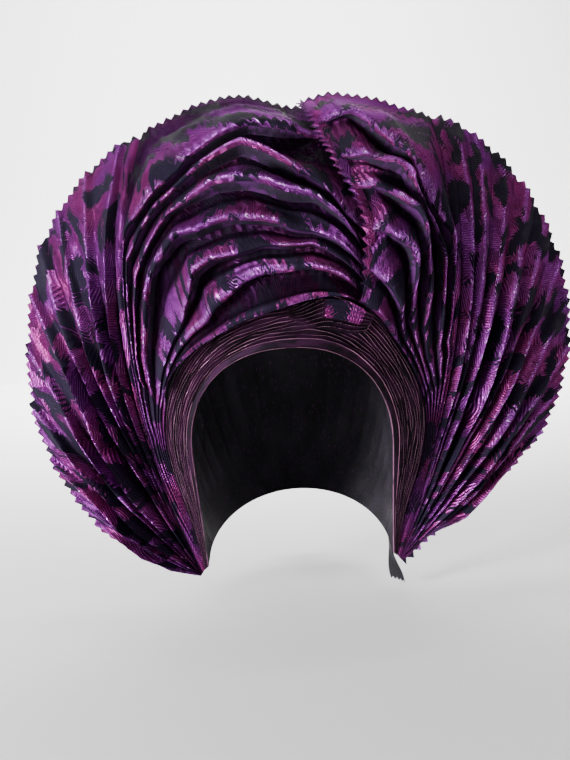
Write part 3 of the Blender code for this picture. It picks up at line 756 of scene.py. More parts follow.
def brocade():
    """Stiff brocade of metallic magenta and violet thread on a black ground.

    Soft noise cut at a level gives the leaves, and a comb of slanting lines
    saws their edges into barbs. The metallic floats are ribs 1.7 mm apart
    with small cells, each tilted its own way so that it glints by itself.
    Light is also painted into the colour: painted shade in the grooves
    between the ribs, bright painted glints in the cells, a painted highlight
    on the fold tops and painted shade in the deep valleys, these last two
    read from the crest attribute.
    """
    paint = Paint("purple_brocade")
    flat, u, v, back = paint.cloth()
    crest = paint.node("Attribute", {"attribute_name": "crest"}, {})["Fac"]

    bend = paint.noise(flat, 0.022, 0.5)["Color"]
    bent = paint.vector("MULTIPLY_ADD", bend, (34, 34, 0), flat)["Vector"]
    part = paint.node("SeparateXYZ", {}, {"Vector": bent})
    x, y = part["X"], part["Y"]
    rising, falling = (x + y) / BARB_PITCH, (x - y) / BARB_PITCH
    first, second = rising.math("PINGPONG", rising, 0.5), falling.math("PINGPONG", falling, 0.5)
    side = paint.noise(flat, 0.05, 0.0)["Fac"] > 0.5
    comb = first * side + second * (1 - side)
    long_place = paint.vector("MULTIPLY", bent, (1.0, 0.66, 1))["Vector"]
    leaf = paint.noise(long_place, 0.052, 1.2)["Fac"]
    small = paint.noise(bent, 0.13, 0.5)["Fac"]
    field = leaf + (comb - 0.25) * 0.15 + (small - 0.5) * 0.14
    ground = field.step(0.517, 0.530)
    vein = (field - 0.460).absolute().step(0.008, 0.003) * 0.7
    dark = ground.math("MAXIMUM", ground, vein)

    tone = paint.noise(flat, 0.016, 2.0)["Fac"]
    metal = paint.mix(tone.step(0.38, 0.62), (0.150, 0.021, 0.168, 1), (0.210, 0.022, 0.124, 1))
    ribs = (v * 3.4 + u * 1.2).sine()
    twill = (v * 2.0 - u * 3.0).sine()
    rib = ribs * side + twill * (1 - side)
    cells = paint.node("TexVoronoi", {}, {"Vector": flat, "Scale": 0.95})
    glint = paint.node("SeparateColor", {}, {"Color": cells["Color"]})
    on_top = crest.step(0.70, 1.0)
    # Painted highlight: a lighter violet on the fold tops, where the crest attribute is high.
    metal = paint.mix(on_top * 0.32, metal, (0.44, 0.08, 0.54, 1))
    # Painted glints: bright violet and near-white cells mixed into the colour, faint everywhere and strong
    # on the fold tops.
    metal = paint.mix(glint["Red"] ** 3 * (0.08 + 0.7 * on_top), metal, (0.64, 0.20, 0.90, 1))
    metal = paint.mix((glint["Green"] > 0.94) * (0.06 + 0.9 * on_top), metal, (0.92, 0.60, 1.0, 1))
    # Painted shade: darker in the grooves between the ribs, where the bump is low.
    metal = paint.mix((rib * -1).step(-0.4, 0.7) * 0.60, metal, (0.020, 0.003, 0.026, 1))
    black = paint.mix(tone, (0.004, 0.003, 0.006, 1), (0.009, 0.0075, 0.016, 1))
    colour = paint.mix(dark, metal, black)
    # Painted shade: the deep fold valleys, where the crest attribute is negative, go nearly black.
    depth = (crest * -1).step(0.05, 0.75)
    colour = paint.mix(depth * 0.88, colour, (0.003, 0.0015, 0.004, 1))
    reverse = paint.mix(dark, (0.016, 0.012, 0.020, 1), (0.045, 0.012, 0.055, 1))
    colour = paint.mix(back, colour, reverse)
    shown = (1 - dark) * (1 - back)
    paint.surface("Base Color", colour)
    paint.surface("Metallic", shown * 0.82 + 0.05)
    paint.surface("Roughness", 0.60 - shown * (0.16 + 0.10 * glint["Blue"]))
    paint.surface("Specular IOR Level", 0.11)
    paint.surface("Specular Tint", VIOLET_SHEEN)
    from_centre = paint.vector("SUBTRACT", flat, cells["Position"])["Vector"]
    lean = paint.vector("SUBTRACT", cells["Color"], (0.5, 0.5, 0.5))["Vector"]
    facet = paint.vector("DOT_PRODUCT", from_centre, lean)["Value"]
    height = rib * (0.30 + shown * 0.45) + facet * shown * FACET_HEIGHT * (0.35 + on_top) - dark * 0.5
    paint.bump(height, 0.75, 0.00035)
    return paint.material


BROCADE = brocade()


# Width of the flat cloth: shares of the rim's length and of the way over the folds
FLAT_RIM_STRETCH = 1.25
FLAT_FOLD_STRETCH = 0.9


def fan(name, node, table, section, pivot, outward, pinked_share, seed):
    """One fan: folds from the pivot to the rim, and its pinked edge.

    A crest stands on each table row. Between two of them the height follows
    the section, as deep as the room between the rows allows. The first row
    is pinked as well, over pinked_share of its length from the pivot. The
    last row drops and a strip past it goes in under the neighbouring sheet.
    """
    last = len(table) - 1
    fine = np.linspace(0, last, FAN_RIM_SAMPLES)
    rim_line = dish(np.interp(fine, range(last + 1), [row[0] for row in table]), 1.0 + 0 * fine)
    length = arc_length(rim_line)
    tooth_count = int(round(length[-1] / TOOTH_PITCH))
    rim_place = np.linspace(0, length[-1], tooth_count * SAMPLES_A_TOOTH + 1)
    rows = np.interp(rim_place, length, fine)
    along = np.concatenate([np.linspace(0, 1, FAN_STEPS)[:-1] ** STEP_EASE, [1.0]])
    wobble = ripple(rows[:, None] * 1.7 + seed, along[None, :] * 5, (
        (0.16, 1.3, 1.0, 0.2), (0.10, 2.9, -2.1, 1.7), (0.06, 5.0, 3.7, 4.2)))
    wobble = wobble * np.sin(np.pi * along[None, :]) * np.sin(np.pi * rows[:, None] / last)
    angle, reach = fan_lines(table, rows, along, pivot, outward)
    crest_angle, crest_reach = fan_lines(table, np.arange(last + 1.0), along, pivot, outward)
    gap = spread_crests(dish(crest_angle, crest_reach))
    height_share = np.array([row[2] for row in table])[:, None]
    crest_height = np.minimum(FAN_FOLD_DEPTH, FAN_STEEPNESS * gap) * height_share
    place = np.clip(rows[:, None] + wobble, 0, last)
    fold = np.clip(np.floor(place).astype(int), 0, last - 1)
    share = place - fold
    column = np.arange(len(along))[None, :]
    tops = crest_height[fold, column] * (1 - share) + crest_height[fold + 1, column] * share
    profile = smooth_curve(share, section)
    flatten = 1 - RIM_FLATTENING * fade(along[None, :], *FLATTENING_SPAN)
    drop = VALLEY_DROP * np.clip(tops / FAN_FOLD_DEPTH, 0, 1)
    height = (tops * profile - drop * (1 - profile)) * flatten
    base = dish(angle, reach)
    rough = fade(along[None, :], 0.35, 0.95)
    height = height + crumple(base + seed * 13 * MM, 0.3 + 0.8 * rough) * np.clip(tops / (4 * MM), 0, 1)
    reach = np.maximum(reach, edge_reach(angle))
    tip = teeth(np.arange(len(rows)))[:, None] * TOOTH_DEPTH / dish_depth(angle[:, -1:])
    reach[:, -1:] = 1 - TRIM_SHARE * tip + tip * fade(rows[:, None], 0.0, 1.2)
    reach[:, -2:-1] = np.minimum(reach[:, -2:-1], REACH_INSIDE_TEETH)
    side = arc_length(dish(angle[0], reach[0]))
    side_teeth = round(side[-1] / TOOTH_PITCH)
    side_tip = teeth(side / side[-1] * side_teeth * SAMPLES_A_TOOTH) * (along < pinked_share)
    side_shift = unit((base[0] - [0, 0, FACE_CENTRE_Z]) * [1, 0, 1]) * (TOOTH_DEPTH * side_tip)[:, None]
    seam = SEAM_AT_PIVOT + (1 - SEAM_AT_PIVOT) * fade(along, *SEAM_SPAN)
    height = height - SEAM_DROP * fade(rows[:, None], last - SEAM_ROWS, last) * seam
    width = (SEAM_WIDTH * seam)[None, :, None]
    under = fan_lines(table, np.array([float(last)]), along, pivot, outward, width)
    angle = np.vstack([angle, under[0]])
    reach = np.vstack([reach, np.clip(under[1], edge_reach(under[0]), SEAM_REACH)])
    height = np.vstack([height, -SEAM_EDGE_DROP * seam])
    place, profile, tops = [np.vstack([grid, grid[-1:]]) for grid in (place, profile, tops)]
    front, back = dish_sheet(angle, reach, height, CLOTH_WALL)
    front[0] += side_shift
    back[0] += side_shift
    flat_rows = np.linspace(0, length[-1] * FLAT_RIM_STRETCH, last + 1)
    crest_u = np.interp(place, np.arange(last + 1.0), flat_rows)
    lateral = distance_over(front, 0) * FLAT_FOLD_STRETCH
    u = lateral + (crest_u - lateral) * (0.35 + 0.65 * fade(along[None, :], 0.2, 1.0))
    cloth = np.stack([u + seed, distance_over(front, 1)], axis=-1)
    # Painted light for the brocade: a highlight on the fold tops and painted shade in the deep valleys,
    # fading out where the folds flatten near the rim.
    light = fold_light(profile, tops * flatten, fade(flatten, 0.25, 0.85))
    piece = cloth_wall(name, front, back, cloth, light)
    piece.data.materials.append(BROCADE)
    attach(piece, "root")
    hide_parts(node)
    area = surface_area(front)


fan("left_fan_pleats", "left_fan", LEFT_FAN_TABLE, CREASE_PROFILE, LEFT_PIVOT, 1, 0.0, 0.0)
fan("right_fan_pleats", "right_fan", RIGHT_FAN_TABLE, ROLL_PROFILE, RIGHT_PIVOT, -1, 0.45, 0.7)


# Crown folds: the left sheet swept up from the temple and over the crown in
# deep folds, each a broad face that rolls over its crest and drops away, and
# pinched together on the right. The lowest one ends in a lip over the band.

SWAG_FOLD_DEPTH = 15 * MM
SWAG_VALLEY_DROP = 2.5 * MM
SWAG_STEEPNESS = 0.68
CREST_STRAY = 0.07
LIP_DEPTH = 10 * MM
LIP_START_ANGLE = 155
LIP_FULL_ANGLE = 140
SWAG_TURN = 112
SWAG_END = 66
RIGHT_END = 84
HEM_LAP = 4
HEM_FADE = 6
OVER_BAND = 3.6 * MM
OVER_BAND_RISE = 0.02
MINOR_CREASE = 2.4 * MM
MINOR_CREASE_WIDTH = 0.09
TRIMMED_TOOTH = 0.8 * TOOTH_DEPTH
CROWN_SHADE = 0.7
CROWN_CROWDING = 1.6
SWAG_STATIONS = (170, 150, 137, 126, 122, 116, SWAG_TURN, 96, 84, 75, SWAG_END)
SWAG_TABLE = (
    # temple, side, shoulder, high, corner, inner, turn, crown, fall, dip, hem
    (0.140, 0.240, 0.420, 0.54, 0.575, 0.625, 0.66, 0.73, 0.81, 0.80, 0.80),
    (0.100, 0.190, 0.370, 0.48, 0.510, 0.560, 0.59, 0.66, 0.54, 0.36, 0.28),
    (0.075, 0.140, 0.290, 0.41, 0.445, 0.500, 0.53, 0.50, 0.43, 0.28, 0.18),
    (0.055, 0.090, 0.180, 0.28, 0.350, 0.380, 0.40, 0.34, 0.28, 0.19, 0.12),
    (0.040, 0.055, 0.075, 0.10, 0.115, 0.160, 0.22, 0.23, 0.21, 0.14, 0.08),
    (0.025, 0.030, 0.045, 0.055, 0.055, 0.060, 0.08, 0.14, 0.12, 0.07, 0.04),
    (0.010, 0.010, -0.06, -0.20, -0.235, -0.28, -0.30, -0.26, -0.18, -0.08, 0.01),
)
HEM_TABLE = (
    # reach, angle
    (-0.05, 64),
    (0.10, 65),
    (0.27, 68),
    (0.40, 71),
    (0.55, 76),
    (0.75, 80),
    (1.00, 84),
)
# Cross-section of a swept fold, from one crest to the next nearer the face
SWEEP_PROFILE = (
    # step, share_of_fold, height
    (0.00, 0.00, 1.00),
    (0.05, 0.05, 0.97),
    (0.10, 0.08, 0.84),
    (0.15, 0.07, 0.60),
    (0.20, 0.03, 0.30),
    (0.25, 0.02, 0.08),
    (0.30, 0.06, 0.00),
    (0.40, 0.18, 0.05),
    (0.55, 0.38, 0.28),
    (0.72, 0.62, 0.60),
    (0.88, 0.85, 0.90),
    (1.00, 1.00, 1.00),
)
SWEEP_VALLEY = 0.30
SWEEP_SAMPLES = 26
OPENING_SAMPLES = 18
RIM_SAMPLES = 200
SHEET_INSET = -0.6 * MM


def hem_line(reach):
    """Angle of the right sheet's hem at a reach."""
    return smooth_curve(reach, HEM_TABLE)


def kink(t):
    """Triangle wave between -1 and 1."""
    return 4 * np.abs(t % 1.0 - 0.5) - 1


def kinked_curve(x, table):
    """Between a smooth curve and straight pieces, nearer these: with corners."""
    place, value = np.array(sorted(table), float).T
    return (smooth_curve(x, table) + 3 * np.interp(x, place, value)) / 4


def sweep(columns, outer, table, stations, turn, end, hem_side, seated, crowding):
    """Rows of a swept sheet: angle, reach, profile, room between crests and row number.

    A crest runs along each table row, smoothly from station to station, and
    stays inside the outer edge: crowding 1 keeps even steps to it, and more
    lets them close up. Angles past the turn close up to end on the hem.
    """
    last = len(table) + (1 if seated else 0)
    edge = edge_reach(columns)
    crests = [outer]
    for number, row in enumerate(table, start=1):
        crowded = outer + (edge - outer) * (number / last) ** crowding
        crests.append(np.minimum(kinked_curve(columns, tuple(zip(stations, row))), crowded))
    if seated:
        crests.append(edge)
    crests = np.array(crests)
    between = np.abs(np.diff(crests, axis=0))
    number = np.arange(1, len(crests) - 1)[:, None]
    stray = kink(columns / 27 + 0.37 * number) + 0.5 * kink(columns / 12 + 0.61 * number)
    crests[1:-1] += CREST_STRAY * np.minimum(between[:-1], between[1:]) * stray
    closing = (columns - turn) / (end - turn)
    closed = turn + (hem_line(crests[:, -1:]) - turn) * closing
    gap = spread_crests(dish(np.where(closing > 0, closed, columns), crests))

    step = np.linspace(0, 1, SWEEP_SAMPLES, endpoint=False)
    opening = np.linspace(SWEEP_VALLEY, 1, OPENING_SAMPLES, endpoint=False)
    rows = np.concatenate([opening] + [number + step for number in range(1, last)] + [[last]])
    table_step, table_share, table_height = np.array(SWEEP_PROFILE).T
    share = smooth_curve(rows % 1.0, tuple(zip(table_step, table_share)))
    profile = smooth_curve(rows % 1.0, tuple(zip(table_step, table_height)))
    share[: len(opening)] = (opening - SWEEP_VALLEY) / (1 - SWEEP_VALLEY)
    share[-1], profile[-1] = 1.0, 0.0 if seated else 1.0
    lower = np.minimum(np.floor(rows).astype(int), last - 1)
    share, profile = share[:, None], profile[:, None]
    reach = crests[lower] * (1 - share) + crests[lower + 1] * share
    hem_angle = hem_line(reach[:, -1:]) + hem_side
    angle = np.where(closing > 0, turn + (hem_angle - turn) * closing, columns + 0 * reach)
    blend = np.clip((rows - lower)[:, None], 0, 1)
    depth = gap[lower] * (1 - blend) + gap[lower + 1] * blend
    return angle, reach, profile, depth, rows


def crown_columns(table, pivot, outward, end, rim_end):
    """Columns of a swept sheet: up along the fan's last valley, then on.

    Gives their angles, their outer reach and, for the rim, the height of
    its teeth. The rim gets a whole number of teeth of SAMPLES_A_TOOTH steps.
    """
    along = np.linspace(0, 1, SIDE_STEPS) ** STEP_EASE
    last_row = np.array([len(table) - 1.0])
    side_angle, side_reach = fan_lines(table, last_row, along, pivot, outward, SHEET_INSET)
    rim = arc_length(dish(np.linspace(side_angle[0, -1], rim_end, RIM_SAMPLES), 1.0))[-1]
    count = int(round(rim / TOOTH_PITCH)) * SAMPLES_A_TOOTH
    crown = np.linspace(side_angle[0, -1], end, count + 1)[1:]
    columns = np.concatenate([side_angle[0], crown])
    outer = np.concatenate([side_reach[0], np.ones(count)])
    tooth = teeth(np.arange(1, count + 1))
    return columns, outer, np.concatenate([0 * along, tooth])


def cloth_place(front):
    """Place on the flat cloth: distances along the rows and the columns."""
    return np.stack([distance_over(front, 0), distance_over(front, 1)], axis=-1)


columns, outer_reach, tooth = crown_columns(LEFT_FAN_TABLE, LEFT_PIVOT, 1, SWAG_END, RIGHT_END - HEM_LAP)
angle, reach, profile, room, rows = sweep(
    columns, outer_reach, SWAG_TABLE, SWAG_STATIONS, SWAG_TURN, SWAG_END, -HEM_LAP, False, CROWN_CROWDING)
life = 0.88 + ripple(np.radians(angle), rows[:, None], ((0.14, 5, 2.1, 0.5), (0.07, 9, -1.3, 2.0)))
tops = np.minimum(SWAG_FOLD_DEPTH, SWAG_STEEPNESS * room) * life
height = tops * profile - SWAG_VALLEY_DROP * (1 - profile) * np.clip(tops / SWAG_FOLD_DEPTH, 0, 1)
last_valley = len(SWAG_TABLE) - 1 + SWEEP_VALLEY
lip = np.clip((rows - last_valley) / (len(SWAG_TABLE) - last_valley), 0, 1)[:, None]
over_crown = fade(angle, LIP_START_ANGLE, LIP_FULL_ANGLE)
height = height * (1 - lip * over_crown) + LIP_DEPTH * np.sin(np.pi / 2 * lip) * over_crown
clear_hem = fade(angle - hem_line(reach), 0, HEM_FADE)
edge = edge_reach(angle)
reach = np.where(reach < edge, edge + (reach - edge) * clear_hem, reach)
over_band = OVER_BAND * np.clip(-reach / OVER_BAND_RISE, 0, 1)
height = np.maximum(height * clear_hem, over_band)
base = dish(angle, reach)
face = rows[:, None] % 1.0
place = 0.66 + 0.10 * np.sin(np.radians(angle) * 6 + rows[:, None] * 2)
patch = 0.5 + 0.5 * np.sin(np.radians(angle) * 5 + np.floor(rows[:, None]) * 2.4)
minor = MINOR_CREASE * np.exp(-(((face - place) / MINOR_CREASE_WIDTH) ** 2)) * patch
height = height + (crumple(base, 1.3) + minor) * np.clip(tops / (8 * MM), 0, 1) * clear_hem
reach[0] += TRIMMED_TOOTH * tooth / dish_depth(angle[0])
front, back = dish_sheet(angle, reach, height, CLOTH_WALL)
# Painted light for the brocade: a highlight on each crest, painted shade in the deep valleys, and
# CROWN_SHADE darkens every face below its crest.
light = fold_light(profile, tops, (rows >= 1)[:, None]) - CROWN_SHADE * (1 - profile**2)
# Painted shadow: the first row is fully dark, a shadow line along the sheet's edge where it meets the fan.
light[0, :SIDE_STEPS] = -1
crown_folds = cloth_wall("crown_folds", front, back, cloth_place(front) + 1.3, light)
crown_folds.data.materials.append(BROCADE)
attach(crown_folds, "root")
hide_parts("crown_swag")
area = surface_area(front)


# Right sheet: the other end of the cloth, folded in long pleats that rise
# from the right pin to a pinked hem. The hem is free and laps over the ends
# of the crown's folds.

RIGHT_FOLD_DEPTH = 12 * MM
RIGHT_VALLEY_DROP = 2.0 * MM
RIGHT_TURN = 42
RIGHT_STATIONS = (8, 24, 33, RIGHT_TURN, 50, 57, 64, 70, 77, RIGHT_END)
RIGHT_TABLE = (
    # temple, side, rise, turn, high, crown, fall, dip, low, hem
    (0.17, 0.17, 0.21, 0.33, 0.47, 0.53, 0.60, 0.69, 0.83, 0.92),
    (0.12, 0.12, 0.15, 0.25, 0.40, 0.47, 0.53, 0.57, 0.60, 0.62),
    (0.09, 0.08, 0.09, 0.14, 0.22, 0.33, 0.44, 0.47, 0.48, 0.48),
    (0.06, 0.05, 0.06, 0.08, 0.11, 0.17, 0.27, 0.31, 0.32, 0.32),
    (0.03, 0.03, 0.03, 0.04, 0.05, 0.07, 0.11, 0.13, 0.14, 0.14),
)
HEM_HEIGHT = 4.2 * MM
HEM_SETTLE = 12
HEM_FOLD_SHARE = 0.15
HEM_STRIP_ANGLE = 2.0
HEM_STRIP_SPAN = (0.07, 0.985)
HEM_STRIP_SAMPLES = 600
# Creases that run beside the hem: angle from it, width, height
HEM_CREASES = ((5, 1.5, 2.2 * MM), (13, 2.2, 3.3 * MM))
# Peak where one fold turns over: its slopes are outwards, inwards, across
HORN_ANGLE = 67
HORN_REACH = 0.56
HORN_HEIGHT = 8 * MM
HORN_OUTWARDS = 0.12
HORN_INWARDS = 0.012
HORN_ACROSS = 8

columns, outer_reach, tooth = crown_columns(RIGHT_FAN_TABLE, RIGHT_PIVOT, -1, RIGHT_END, RIGHT_END)
angle, reach, profile, room, rows = sweep(
    columns, outer_reach, RIGHT_TABLE, RIGHT_STATIONS, RIGHT_TURN, RIGHT_END, 0.0, True, 1.0)
tops = np.minimum(RIGHT_FOLD_DEPTH, SWAG_STEEPNESS * room)
height = tops * profile - RIGHT_VALLEY_DROP * (1 - profile) * np.clip(tops / RIGHT_FOLD_DEPTH, 0, 1)
from_hem = hem_line(reach) - angle
settled = np.clip(from_hem / HEM_SETTLE, 0, 1)
past_lap = np.clip((from_hem - HEM_LAP - 1) / HEM_SETTLE, 0, 1)
base = dish(angle, reach)
along_hem = sum(size * np.exp(-(((from_hem - at) / width) ** 2)) for at, width, size in HEM_CREASES)
along_hem = along_hem * fade(reach, 0.12, 0.35) * (1 - 0.6 * fade(reach, 0.8, 1.0))
height = height * (HEM_FOLD_SHARE + (1 - HEM_FOLD_SHARE) * settled) + along_hem
past_horn = reach - HORN_REACH
horn = np.where(past_horn > 0, 1 - past_horn / HORN_OUTWARDS, 1 + past_horn / HORN_INWARDS)
horn = HORN_HEIGHT * np.clip(horn, 0, 1) * np.clip(1 - np.abs(angle - HORN_ANGLE) / HORN_ACROSS, 0, 1)
height = height + horn + HEM_HEIGHT * (1 - past_lap) + crumple(base, 1.2) * np.clip(tops / (6 * MM), 0, 1)
hem_reach, hem_height = reach[:, -1], height[:, -1]
reach[0] += TRIMMED_TOOTH * tooth / dish_depth(angle[0])
front, back = dish_sheet(angle, reach, height, CLOTH_WALL)
# Painted light for the brocade: a highlight on each crest and painted shade in the deep valleys, only
# where the folds have settled.
light = fold_light(profile, tops * settled, (rows >= 1)[:, None] * settled)
# Painted shadow: the first row is fully dark, a shadow line along the sheet's edge where it meets the fan.
light[0, :SIDE_STEPS] = -1
right_sheet = cloth_wall("right_sheet", front, back, cloth_place(front) + 2.1, light)
right_sheet.data.materials.append(BROCADE)
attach(right_sheet, "root")
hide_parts("right_swag")
area = surface_area(front)

order = np.argsort(hem_reach)
fine = np.linspace(*HEM_STRIP_SPAN, HEM_STRIP_SAMPLES)
length = arc_length(dish(hem_line(fine), fine))
count = int(round(length[-1] / TOOTH_PITCH)) * SAMPLES_A_TOOTH
run = np.interp(np.linspace(0, length[-1], count + 1), length, fine)[:, None]
out = np.linspace(0, 1, 9)[None, :]
tip = teeth(np.arange(count + 1))[:, None]
from_centre = dish(hem_line(run), run)[..., [0, 2]] - [0, FACE_CENTRE_Z]
tooth_angle = np.degrees(TOOTH_DEPTH / np.linalg.norm(from_centre, axis=-1))
angle = hem_line(run) - HEM_STRIP_ANGLE * (1 - out) + tip * tooth_angle * fade(out, 0.6, 1.0) * 0.9
even_height = np.convolve(np.pad(hem_height[order], 4, "edge"), np.ones(9) / 9, "valid")
smooth_hem = np.interp(run, hem_reach[order], even_height)
lift = (0.5 + 1.3 * out + 0.8 * np.sin(run * 23)) * MM
front, back = dish_sheet(angle, run + 0 * out, smooth_hem + lift, CLOTH_WALL)
hem_edge = cloth_wall("right_hem_edge", front, back, cloth_place(front) + 5.7, 0.2)
hem_edge.data.materials.append(BROCADE)
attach(hem_edge, "root")


# Tuck: the small loose loops of cloth left over where all the folds are
# pinched together, pushed in over the band below the pinch.

TUCK_ANGLES = (88, 58)
TUCK_BOTTOM = -0.66
TUCK_TOP_TABLE = ((58, -0.06), (70, -0.12), (88, -0.26))
TUCK_LOOPS = 6
TUCK_LIFT = 4.1 * MM
TUCK_LOOP_HEIGHT = 1.7 * MM
TUCK_PATCH_HEIGHT = 0.8 * MM

angle = np.linspace(*TUCK_ANGLES, 181)[None, :]
share = np.linspace(0, 1, 71)[:, None]
top = smooth_curve(angle, TUCK_TOP_TABLE)
across_tuck = (angle - TUCK_ANGLES[1]) / (TUCK_ANGLES[0] - TUCK_ANGLES[1])
low = TUCK_BOTTOM * (0.55 + 0.45 * np.sin(np.pi * across_tuck) ** 0.5)
reach = low + share * (top - low)
loop = (TUCK_LOOPS * (share + 0.55 * across_tuck**2 + 0.06 * np.sin(9 * across_tuck))) % 1.0
loop_height = smooth_curve(loop, PLEAT_PROFILE)
patch = fade(across_tuck, 0.62, 0.50) * fade(across_tuck, 0.06, 0.16) * fade(share, 0.30, 0.42)
height = TUCK_LIFT + TUCK_LOOP_HEIGHT * loop_height * (1 - 0.9 * patch) + TUCK_PATCH_HEIGHT * patch
height = height * fade(share, -0.2, 0.08)
front, back = dish_sheet(angle + 0 * reach, reach, height, CLOTH_WALL)
# Crest marks the edge of each loop outside the patch, where the band's colour paints its bright highlight
# line.
tuck = cloth_wall("tuck_loops", front, back, cloth_place(front) + 3.4, (loop < 0.08) * (1 - patch))
tuck.data.materials.append(DARK_BROCADE)
tuck.data.materials.append(BROCADE)
patched = (patch[:-1, :-1] > 0.5).ravel().astype(np.int32)
edges = np.zeros(len(tuck.data.polygons) - 2 * len(patched), np.int32)
tuck.data.polygons.foreach_set("material_index", np.concatenate([patched, patched, edges]))
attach(tuck, "root")
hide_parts("tuck_pleats")
area = surface_area(front)


# Tie at the nape: the two ends of the cloth drawn round the head over the
# cap's hem, in a few flat pleats, and knotted at the middle of the nape.

TIE_BOTTOM_SHARE = 0.97
TIE_HEIGHT_SHARE = 0.09
TIE_END_SHARE = 0.08
TIE_PLEATS = 5
TIE_CLEARANCE = 0.9
TIE_PLEAT_HEIGHT = 2.6
KNOT_SIZE = np.array([46, 17, 30]) * MM
KNOT_FROM_CAP = np.array([0, 14.2, 2]) * MM
KNOT_CREASE = 0.10
KNOT_WRINKLE = 0.04
KNOT_WAIST = 0.25

across = np.linspace(TIE_END_SHARE, 1 - TIE_END_SHARE, 301)[None, :]
share = np.linspace(0, 1, 61)[:, None]
down = TIE_BOTTOM_SHARE - TIE_HEIGHT_SHARE * (1 - share)
seat = cap_point(across, down, np.array(CAP_WALL))
normal = unit(seat - cap_point(across, down, np.array(0.0)))
pleat = (share * TIE_PLEATS + 0.18 * np.sin(9 * across)) % 1.0
gathered = 1 - 0.35 * np.exp(-(((across - 0.5) / 0.06) ** 2))
raised = (TIE_CLEARANCE + TIE_PLEAT_HEIGHT * smooth_curve(pleat, PLEAT_PROFILE) * gathered) * MM
front = seat + normal * (raised + CLOTH_WALL)[..., None]
back = seat + normal * raised[..., None]
tie = cloth_wall("nape_band", front, back, cloth_place(front), 0.0)
tie.data.materials.append(BLACK_CLOTH)
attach(tie, "root")
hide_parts("nape_tie")
tie_area = surface_area(front)

centre = cap_point(0.5, TIE_BOTTOM_SHARE - TIE_HEIGHT_SHARE / 2, np.array(CAP_WALL))
turn = np.linspace(0, 2 * np.pi, 121)[None, :]
rise = np.linspace(0, np.pi, 61)[:, None]
crease = KNOT_CREASE * np.abs(np.sin(2.5 * rise + 0.5 * np.sin(turn)))
wrap = 1 + crease + KNOT_WRINKLE * np.sin(7 * turn + 3 * rise)
wrap = wrap / 2 / (1 + KNOT_CREASE + KNOT_WRINKLE)
waist = 1 - KNOT_WAIST * np.cos(np.pi * np.sin(rise) * np.cos(turn)) ** 2
lump = np.stack([
    np.sin(rise) * np.cos(turn) * wrap,
    np.sin(rise) * np.sin(turn) * wrap,
    np.cos(rise) * waist / 2 + 0 * turn,
], axis=-1)
knot_points = centre + KNOT_FROM_CAP + lump * KNOT_SIZE
knot_points[:, -1] = knot_points[:, 0]
ring = knot_points[1:-1, :-1].reshape(-1, 3)
poles = knot_points[[0, -1], 0]
count, around = knot_points.shape[0] - 2, knot_points.shape[1] - 1
grid = np.arange(count * around).reshape(count, around)
beside = np.roll(grid, -1, axis=1)
quads = np.stack([grid[:-1], beside[:-1], beside[1:], grid[1:]], axis=-1).reshape(-1, 4)
caps = [(int(b), int(a), len(ring)) for a, b in zip(grid[0], beside[0])]
caps += [(int(a), int(b), len(ring) + 1) for a, b in zip(grid[-1], beside[-1])]
knot_mesh = bpy.data.meshes.new("nape_knot_wrap")
knot_faces = quads[:, ::-1].tolist() + [corners[::-1] for corners in caps]
knot_mesh.from_pydata(np.concatenate([ring, poles]).tolist(), [], knot_faces)
knot_cloth = np.column_stack([ring[:, 0] * 1.6, ring[:, 2] * 1.6, 0 * ring[:, 0]])
knot_cloth = np.concatenate([knot_cloth, np.zeros((2, 3))])
knot_mesh.attributes.new("cloth", "FLOAT_VECTOR", "POINT").data.foreach_set("vector", knot_cloth.ravel())
knot_mesh.shade_smooth()
knot = bpy.data.objects.new("nape_knot_wrap", knot_mesh)
bpy.context.scene.collection.objects.link(knot)
knot.data.materials.append(BLACK_CLOTH)
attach(knot, "root")
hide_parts("nape_knot")


# Free end: the pinked tip of the tie, black side out, that hangs below the
# hem behind the right pin.

TAIL_LENGTH = 30 * MM
TAIL_SHARES = (0.945, 0.995)
TAIL_NARROWING = 0.25
TAIL_TEETH = 4
TAIL_TOOTH = 0.07
TAIL_GAP = 0.7 * MM
TAIL_CURL = 1.6 * MM
TAIL_HEADING = (0.72, -0.66, -0.2)

share = np.linspace(0, 1, 41)[None, :]
across = TAIL_SHARES[0] + (TAIL_SHARES[1] - TAIL_SHARES[0]) * share
drop = np.linspace(0, 1, 45)[:, None]
hem = cap_point(across, 1.0, np.array(CAP_WALL))
inside = cap_point(across, 1.0, np.array(CAP_WALL - CLOTH_WALL))
zigzag = np.abs(2 * ((share * TAIL_TEETH) % 1.0) - 1) * TAIL_TOOTH
fall = TAIL_GAP + TAIL_LENGTH * (drop * (1 - TAIL_TOOTH + zigzag * drop))
fall = fall[..., None] * np.array([0.1, 0.0, -1.0])
narrow = ((share - 0.5) * drop * TAIL_NARROWING)[..., None] * (hem[:, -1:] - hem[:, :1])
curl = (TAIL_CURL * np.sin(3 * drop + 2 * share) * drop)[..., None] * np.array([1.0, 0.0, 0.0])
across_tail = (hem[:, -1:] - hem[:, :1]) * (1 - TAIL_NARROWING)
turned_tail = np.linalg.norm(across_tail) * np.array(TAIL_HEADING)
swing = ((share - 0.5) * fade(drop, 0.1, 0.9))[..., None] * (turned_tail - across_tail)
front, back = [face - narrow + fall - curl + swing for face in (hem, inside)]
back = back + (CLOTH_WALL * fade(drop, 0.1, 0.9) * (1 + 0 * share))[..., None] * np.array([0.5, 0.7, 0.0])
tail = cloth_wall("tie_end", front, back, cloth_place(front), 0.0)
tail.data.materials.append(BLACK_CLOTH)
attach(tail, "root")
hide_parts("tie_tail")


# Floor, soft room light and the camera at the photograph's angle

